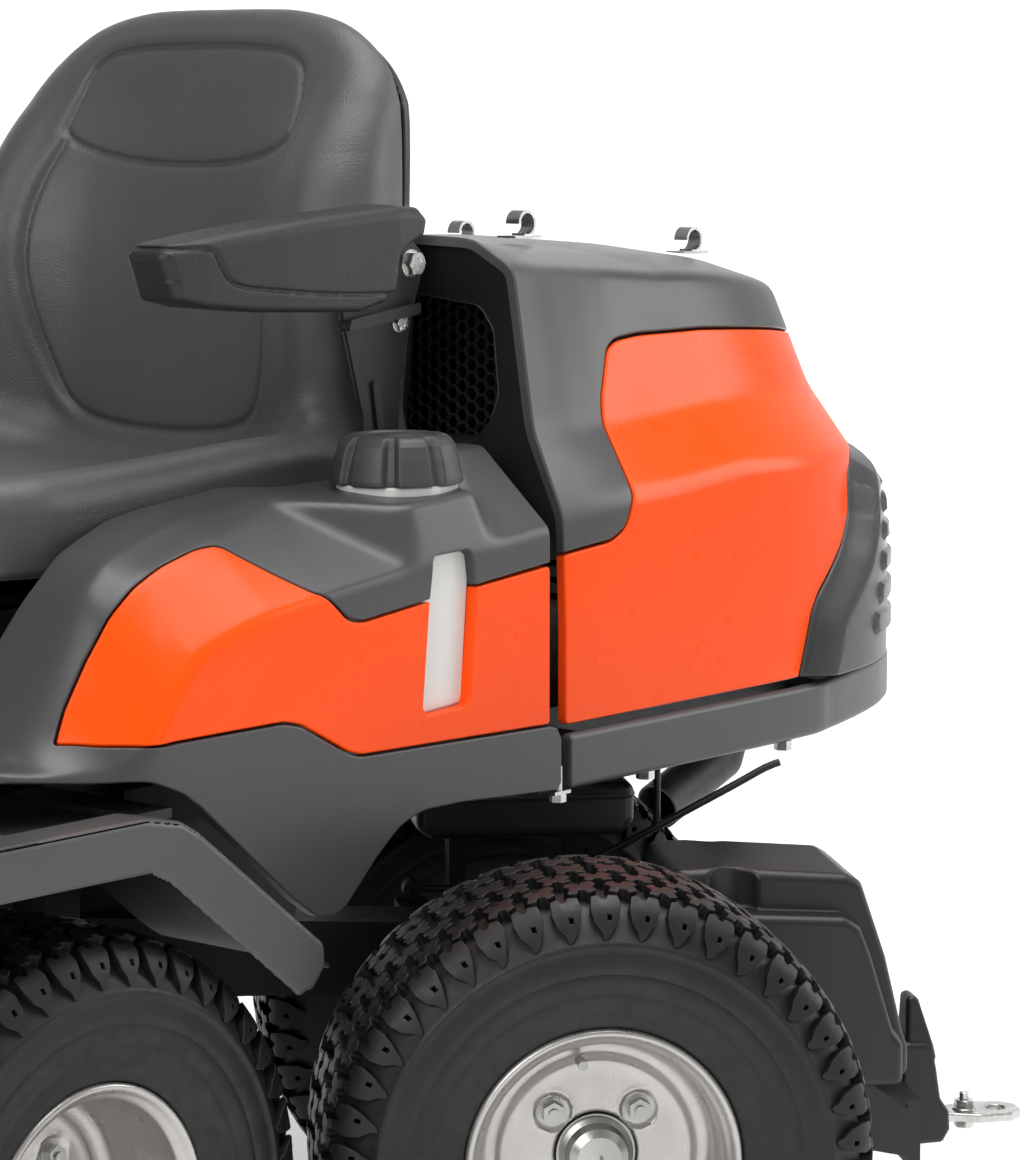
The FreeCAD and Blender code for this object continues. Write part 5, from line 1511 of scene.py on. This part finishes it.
_plate = [slab(round_poly([(446, 902), (442, 955), (447, 968), (460, 974), (500, 974), (534, 970), (545, 960), (546, 944), (536, 917), (534, 905), (515, 905)], 4, seg=4), -262, -256),
          slab(round_poly([(447, 903), (534, 911), (519, 850), (505, 737), (469, 737), (471, 820)], 4, seg=4), -261.5, -256.5),
          slab(round_poly([(480, 850), (487, 850), (504, 742), (497, 742)], 2, seg=2), -264.5, -258),
          slab(round_poly([(444, 896), (447, 905), (535, 916), (535, 908)], 1.5, seg=2), -270, -257),
          slab(round_poly([(464, 700), (510, 700), (510, 738), (464, 738)], 4, seg=3), -261, -249.5),
          slab([(464, 700.3), (510, 700.3), (510, 705.4), (464, 705.4)], -261, -201)]
for _s, _n in ((-1, "left"), (1, "right")):
    _p = shifted(_arm, (0, -300, 0))
    _p = _p if _s < 0 else mirrored(_p)
    make("armrest_pad_" + _n, _p, M_ARM, "armrest_" + _n, "armrest_" + _n)
    V, F, N = joined([(p[0], p[1], None) for p in _plate] + [lathe([(0, 2), (0, 8), (34, 8), (34, 2)], (460, -290, 955), (0, 1, 0), seg=32)])
    _pl = (V, F, None) if _s < 0 else mirrored((V, F, None))
    make("armrest_bracket_" + _n, _pl, M_BLACK, "seat", "armrest_brackets", sharp=40)
    _b = joined([hexbolt((516, -262, 900), (0, -1, 0), 13, 5.5, wash=9), hexbolt((532, -262, 951), (0, -1, 0), 19, 9, wash=12.5)])
    _b = (_b[0], _b[1], None)
    make("armrest_bolts_" + _n, _b if _s < 0 else mirrored(_b), M_ZINC, "seat", "armrest_brackets", sharp=30)
# ------------------------------------------------------------------ fuel cap and neck ring
def cap(x, y, z):
    r = np.hypot(x, y)
    t = np.arctan2(y, x) + 0.16
    side = np.interp(z, [764, 768, 774, 792, 803, 809, 814], [56.8, 57.4, 57.2, 53.5, 49.5, 45.0, 40.0])
    lob = np.abs(((t * 8 / (2 * np.pi)) % 1.0) - 0.5) * 2
    notch = np.clip((lob - 0.62) / 0.26, 0, 1)
    notch = notch * notch * (3 - 2 * notch)
    depth = np.interp(z, [764, 769, 800, 812], [1.5, 5.5, 6.5, 4.0])
    f = r - side + notch * depth
    top = z - (812.4 - 0.0011 * r ** 2)
    well = 2.6 * (1 / (1 + np.exp((r - 33.5) / 0.55))) - 1.6 * (1 / (1 + np.exp((np.hypot(x, y) - 17) / 1.0)))
    f = rmax(f, top + well, 3.2)
    return rmax(f, 769.5 - z, 1.2)


_cap = solid(cap, (-62, -62, 760), (62, 62, 816), 1.3, e=0.25, sym=False)
make("fuel_cap_grip", shifted(_cap, (447, -320, 0)), M_CAP, "fuel_cap", "fuel_cap")
make("fuel_neck_ring", lathe([(753, 30), (753, 52.0), (768.0, 52.0), (769.6, 50.6), (769.6, 30)], (447, -320, 0), (0, 0, 1), seg=96), M_WHITE, "chassis", sharp=35)
# ------------------------------------------------------------------ bumper band, fenders, tank, rear cover, guard, rods
_bo = smooth_path([(592, -395, 0), (640, -395, 0), (930, -395, 0), (1010, -383, 0), (1115, -352, 0), (1180, -325, 0), (1228, -296, 0), (1262, -255, 0), (1285, -205, 0), (1300, -120, 0), (1305, -50, 0), (1306, 0, 0)], 12.0)[:, :2]
_bo = np.concatenate([_bo, (_bo * [1, -1])[::-1][1:]])
_bi, _ = offset_loop(np.concatenate([_bo, [(592, 300), (592, -300)]]), 1e-6)


def _inner(P, d):
    T = np.gradient(P, axis=0)
    T /= np.linalg.norm(T, axis=1, keepdims=True)
    N = np.c_[-T[:, 1], T[:, 0]]
    if (N[5] @ (np.array([800.0, 0]) - P[5])) < 0:
        N = -N
    return P + N * d


_bu = np.concatenate([_bo, _inner(_bo, 13.0)[::-1]])
_BF = prism_field(_bu, 1.5)


def band(x, y, z):
    f = rmax(_BF(x, y), np.abs(z - 515) - 25, 6.0)
    return f


make("bumper_moulding", solid(band, (584, 0, 484), (1314, 402, 546), 3.0), M_BUMPER, "chassis", "bumper_band")

_fp = round_poly([(-246, 552), (33, 552), (71, 544), (90, 533), (231, 421), (232, 402), (217, 385), (198, 381), (54, 497), (34, 507), (-121, 508), (-246, 496)], 7, seg=4)
_fq = [(-260, 549), (33, 549), (70, 541), (88, 530.5), (228.5, 419), (229.5, 404), (300, 300), (198, 300), (54, 440), (34, 450), (-121, 440), (-260, 430)]
_FO, _FI = prism_field(_fp, 1.0, 30), prism_field(_fq, 1.0, 30)


def fender(x, y, z):
    o = _FO(x, z)
    inn = np.where(x > 118, -402.0, -396.5)
    f = rmax(o, -435 - y, 7.0)
    f = np.maximum(f, y - inn)
    f = np.maximum(f, -np.maximum(_FI(x, z), -432.2 - y))
    # rolled foot of the face
    sheet = np.maximum(np.maximum(np.abs(z - 550) - 2.0, np.abs(x + 162.5) - 83.5), np.abs(y + 336) - 96)
    return np.minimum(f, sheet)


_fe = solid(fender, (-254, -440, 372), (240, -232, 560), 2.2, sym=False)
make("front_fender_left", _fe, M_BUMPER, "chassis", "front_fenders")
make("front_fender_right", mirrored(_fe), M_BUMPER, "chassis", "front_fenders")

_TF = prism_field(round_poly([(649, 479.4), (649, 441), (664, 430.5), (838, 430.5), (849, 444), (849, 479.4)], 9, seg=4))


def tank(x, y, z):
    f = rmax(_TF(x, z), np.abs(y - 75) - 75, 10.0)
    rib = np.exp(-((np.abs(z - 468)) / 2.0) ** 2) * 1.6
    return f - rib * (f > -6)


make("oil_tank_body", steered(solid(tank, (640, -6, 424), (860, 156, 486), 2.2, sym=False)), M_BLACK, "carriage", "oil_tank")

_CU = round_poly([(868, 240), (868, 358), (863, 399), (874, 411.5), (915, 412.5), (1030, 403.5), (1043, 396), (1053, 366), (1066, 327), (1082, 258), (1087, 244), (1087, 216), (1040, 216), (900, 216)], 9, seg=4)
_CS = round_poly([(867, 240), (867, 379), (1022, 370), (1036, 361), (1046, 335), (1067, 266), (1077, 253), (1077, 214), (1000, 214), (900, 214)], 7, seg=4)
_CUF, _CSF = prism_field(_CU, 1.0, 40), prism_field(_CS, 1.0, 40)


def rear_cover(x, y, z):
    a = np.abs(y)
    up = rmax(_CUF(x, z), a - 73 + 0.03 * (z - 400), 9.0)
    # upright half-round relief in the flank
    up = smax(up, -(np.hypot(x - 925, a - 88) - 27), 3.0)
    # front corners are cut back above the skirt
    up = smax(up, ((a - 73) + (880 - x)) * 0.707 + 7.0 * 0, 6.0)
    lo = rmax(_CSF(x, z), a - 99.5, 8.0)
    return smin(up, lo, 3.0)


def cover_shell(x, y, z):
    f = rear_cover(x, y, z)
    below = np.maximum(np.maximum(np.abs(y) - 95, z - 284), np.abs(x - 967) - 105)
    hollow = np.maximum(f + 4.5, np.minimum(below, f + 60))
    return np.maximum(f, -hollow)


make("carriage_cover_shell", steered(solid(cover_shell, (856, 0, 206), (1096, 106, 420), 2.0)), M_BLACK, "carriage", "carriage_cover")

_GL = prism_field(round_poly([(1094, 137), (1134, 139), (1141, 151), (1140, 168), (1132, 180), (1128, 209), (1124, 228), (1118, 233), (1094, 233)], 4, seg=3), 1.0, 30)
_GU = prism_field(round_poly([(1099, 215), (1129, 215), (1126, 229), (1118, 254), (1112, 273), (1107, 276), (1101, 274)], 4, seg=3), 1.0, 30)


def guard_f(x, y, z):
    a = np.abs(y)
    lo = rmax(_GL(x, z), a - 25 + 0.04 * (z - 150), 5.0)
    up = rmax(_GU(x, z), a - 19 + 0.10 * (z - 233), 4.5)
    f = smin(lo, up, 2.0)
    inside = np.maximum(np.maximum(np.maximum(_GL(x, z) + 4.5, 1080 - x), a - 19.5), z - 224)
    f = np.maximum(f, -inside)
    hook = np.maximum(np.maximum(a - 17, np.abs(z - 157) - 7.2), x - 1300)
    return np.maximum(f, -hook)


make("hitch_guard_shell", steered(solid(guard_f, (1088, 0, 132), (1146, 30, 280), 1.5)), M_BLACK, "carriage", "hitch_guard")

# zinc draw plate with its pin hole, and the bolt through it
_hq = round_poly([(1094.2, -16), (1146, -16), (1170, -25), (1200, -21.5), (1212, -10), (1212, 10), (1200, 21.5), (1170, 25), (1146, 16), (1094.2, 16)], 5, seg=4)
_HF = prism_field(_hq, 1.0)


def draw_plate(x, y, z):
    f = rmax(_HF(x, y), np.abs(z - 160) - 4, 1.2)
    return rmax(f, 9.0 - np.hypot(x - 1190, y), 1.2)


_pl2 = solid(draw_plate, (1090, 0, 152), (1216, 28, 168), 1.3)
_hb = joined([hexbolt((1160, 0, 164), (0, 0, 1), 16, 9, wash=11, stud=7), hexbolt((1160, 0, 156), (0, 0, -1), 16, 9, wash=11)])
make("draw_plate", steered(_pl2), M_ZINC, "carriage", "hitch_plate")
make("draw_plate_bolt", steered((_hb[0], _hb[1], None)), M_ZINC, "carriage", "hitch_plate", sharp=30)

# wheel arch liners behind the fenders
_ln = [(-246, 543.5), (30, 543.5), (66, 536.5), (82, 527), (150, 470), (214, 417), (238, 402)]


def liner(side):
    P = smooth_path([(a, b, 0) for a, b in _ln], 14.0)[:, :2]
    n = len(P)
    T = np.gradient(P, axis=0)
    T /= np.linalg.norm(T, axis=1, keepdims=True)
    N = np.c_[-T[:, 1], T[:, 0]]
    ys = [-431.5, -428, -400, -330, -246, -243]
    V, F = [], []
    for lay in (0, -3.0):
        for y in ys:
            for k in range(n):
                q = P[k] + N[k] * lay
                V.append((q[0], y, q[1]))
    m = len(ys)
    for L in range(2):
        for j in range(m - 1):
            for k in range(n - 1):
                a = L * m * n + j * n + k
                f = (a, a + 1, a + n + 1, a + n)
                F.append(f if L == 0 else f[::-1])
    o = m * n
    for k in range(n - 1):
        F.append((k, o + k, o + k + 1, k + 1))
        a = (m - 1) * n + k
        F.append((a, a + 1, o + a + 1, o + a))
    for j in range(m - 1):
        a = j * n
        F.append((a, a + n, o + a + n, o + a))
        a = j * n + n - 1
        F.append((a, o + a, o + a + n, a + n))
    p = (np.array(V), F, None)
    return p if side < 0 else mirrored(p)


def plate_xz(poly, y0, y1):
    P = round_poly(poly, 6, seg=3)
    n = len(P)
    V = [(p[0], y0, p[1]) for p in P] + [(p[0], y1, p[1]) for p in P]
    F = [(k, (k + 1) % n, n + (k + 1) % n, n + k) for k in range(n)]
    F += [tuple(range(n - 1, -1, -1)), tuple(range(n, 2 * n))]
    return np.array(V, float), F, None


_wall = plate_xz([(28, 546), (60, 575), (140, 580), (320, 480), (396, 452), (396, 388), (330, 386), (236, 399), (214, 414), (150, 467), (82, 524), (64, 534), (28, 541)], -246.0, -243.0)
make("arch_wall_left", _wall, M_BLACK, "chassis", sharp=50)
make("arch_wall_right", mirrored(_wall), M_BLACK, "chassis", sharp=50)
make("arch_liner_left", liner(-1), M_BLACK, "chassis", sharp=50)
make("arch_liner_right", liner(1), M_BLACK, "chassis", sharp=50)

_rod = smooth_path([(654, 75, 372), (717, 75, 371), (792, 75, 382), (836, 75, 400), (943, 75, 454), (985, 75, 476), (999, 75, 481)], 5.0)
_st = tube([(883, 75, 424), (883, 75, 452), (883, 75, 478)], 3.4, 14)
_gr = joined([tube(_rod, 3.6, 16), _st])
_gr = (_gr[0], _gr[1], None)
_cl = lathe([(-9, 2), (-9, 9), (9, 9), (9, 2)], (654, 75, 372), (0, 1, 0), seg=32)
make("guard_rod_bent", steered(joined([_gr, (_cl[0], _cl[1], None)])[:2] + (None,)), M_FRAME, "carriage", "guard_rod", sharp=45)
# ------------------------------------------------------------------ finish of the carried-over CAD nodes
SLOT_MAT = {"frame_black": M_FRAME, "steel_zinc": M_ZINC, "tyre_rubber": M_TYRE, "rim_silver": M_RIM, "hub_zinc": M_HUB,
            "cast_housing": M_CAST, "plastic_black": M_BLACK, "plastic_grey": M_GREY, "plastic_light_grey": M_GREY2,
            "bumper_grey": M_BUMPER, "panel_orange": M_ORANGE, "tank_white": M_WHITE, "grip_black": M_GRIP, "lever_black": M_GRIP,
            "vinyl_grey": M_VINYL, "armrest_black": M_ARM, "seat_shell_black": M_SHELL, "engine_alloy": M_ENGINE,
            "exhaust_steel": M_EXH, "deck_steel": M_DECK, "blade_steel": M_BLADE, "wheel_black": M_BLACK}
_slot_of = {s["node"]: s["material_slot"] for s in frame["record"]["subparts"]}
for _n, _o in frame["nodes"].items():
    _m = SLOT_MAT[_slot_of[_n]]
    if not _o.material_slots:
        _o.data.materials.append(_m)
    for _s in _o.material_slots:
        _s.material = _m
# ------------------------------------------------------------------ floor, light, camera
def to_scene(p):
    return ((p[0] + OX) / 1000, (p[1] + OY) / 1000, p[2] / 1000)


def stage():
    me = bpy.data.meshes.new("floor_sheet")
    bm = bmesh.new()
    # seamless studio sweep: floor that curves up far behind
    prof = []
    for q in range(0, 25):
        prof.append((-9 + 24.0 * q / 24, 0.0))
    R = 5.0
    for q in range(1, 13):
        a = math.pi / 2 * q / 12
        prof.append((15 + R * math.sin(a), R - R * math.cos(a)))
    prof.append((15 + R, 14.0))
    d = mathutils.Vector((math.sin(math.radians(50.2)), math.cos(math.radians(50.2)), 0))
    s = mathutils.Vector((d.y, -d.x, 0))
    rows = []
    for a, z in prof:
        rows.append([bm.verts.new(d * a + s * b + mathutils.Vector((0, 0, z))) for b in (-22, -11, 0, 11, 22)])
    for r0, r1 in zip(rows[:-1], rows[1:]):
        for k in range(4):
            bm.faces.new((r0[k], r1[k], r1[k + 1], r0[k + 1]))
    bmesh.ops.recalc_face_normals(bm, faces=bm.faces)
    bm.to_mesh(me)
    bm.free()
    for p in me.polygons:
        p.use_smooth = True
    ob = bpy.data.objects.new("floor_sheet", me)
    bpy.context.scene.collection.objects.link(ob)
    m = Mat("floor_white")
    m.link(m.ramp(m.noise(0.6, 2), [(0.3, (0.86, 0.86, 0.855)), (0.7, (0.88, 0.88, 0.878))]), m.b.inputs["Base Color"])
    m.b.inputs["Roughness"].default_value = 0.75
    m.b.inputs["Specular IOR Level"].default_value = 0.2
    m.b.inputs["Emission Color"].default_value = (1, 1, 1, 1)
    m.b.inputs["Emission Strength"].default_value = 0.3
    me.materials.append(m.m)
    w = bpy.data.worlds.new("studio")
    bpy.context.scene.world = w
    w.use_nodes = True
    w.node_tree.nodes["Background"].inputs["Color"].default_value = (1, 1, 1, 1)
    w.node_tree.nodes["Background"].inputs["Strength"].default_value = WORLD

    def area(name, pos, target, size, power, col=(1, 1, 1), spread=180):
        L = bpy.data.lights.new(name, "AREA")
        L.shape = "RECTANGLE"
        L.size, L.size_y = size
        L.energy = power
        L.color = col
        L.spread = math.radians(spread)
        o = bpy.data.objects.new(name, L)
        bpy.context.scene.collection.objects.link(o)
        p, t = mathutils.Vector(pos), mathutils.Vector(target)
        o.location = p
        o.rotation_euler = (t - p).to_track_quat("-Z", "Y").to_euler()
        return o
    for L in LIGHTS:
        area(*L)


WORLD = 0.26
LIGHTS = [
    ("top_soft", (0.6, -0.7, 4.0), (0.3, 0.0, 0.5), (3.4, 2.4), 128),
    ("left_soft", (-3.6, -1.2, 2.6), (0.2, 0.0, 0.8), (2.2, 2.4), 88),
    ("right_soft", (4.0, -2.4, 2.2), (0.6, 0.0, 0.6), (1.8, 2.6), 62),
    ("camera_fill", (0.4, -4.6, 2.2), (0.4, 0.0, 0.5), (2.4, 1.6), 8),
    ("back_wall", (6.0, 7.5, 1.2), (11, 15, 3.0), (9.0, 3.0), 900),
    ("far_floor", (6.6, 5.6, 4.6), (6.8, 5.8, 0.0), (7.0, 6.0), 900, (1, 1, 1), 110),
]
stage()
cam_d = bpy.data.cameras.new("camera")
cam = bpy.data.objects.new("camera", cam_d)
bpy.context.scene.collection.objects.link(cam)
cam_d.sensor_width = 36.0
cam_d.sensor_fit = "AUTO"
cam_d.lens = 117.93
cam_d.clip_end = 200
_th, _pi = math.radians(50.2), math.radians(7.3)
_fw = mathutils.Vector((math.sin(_th) * math.cos(_pi), math.cos(_th) * math.cos(_pi), -math.sin(_pi)))
cam.location = to_scene((-1971.0, -2463.8, 1098.6))
cam.rotation_euler = _fw.to_track_quat("-Z", "Y").to_euler()
bpy.context.scene.camera = cam
bpy.context.scene.view_settings.view_transform = "Standard"
bpy.context.scene.view_settings.look = "None"
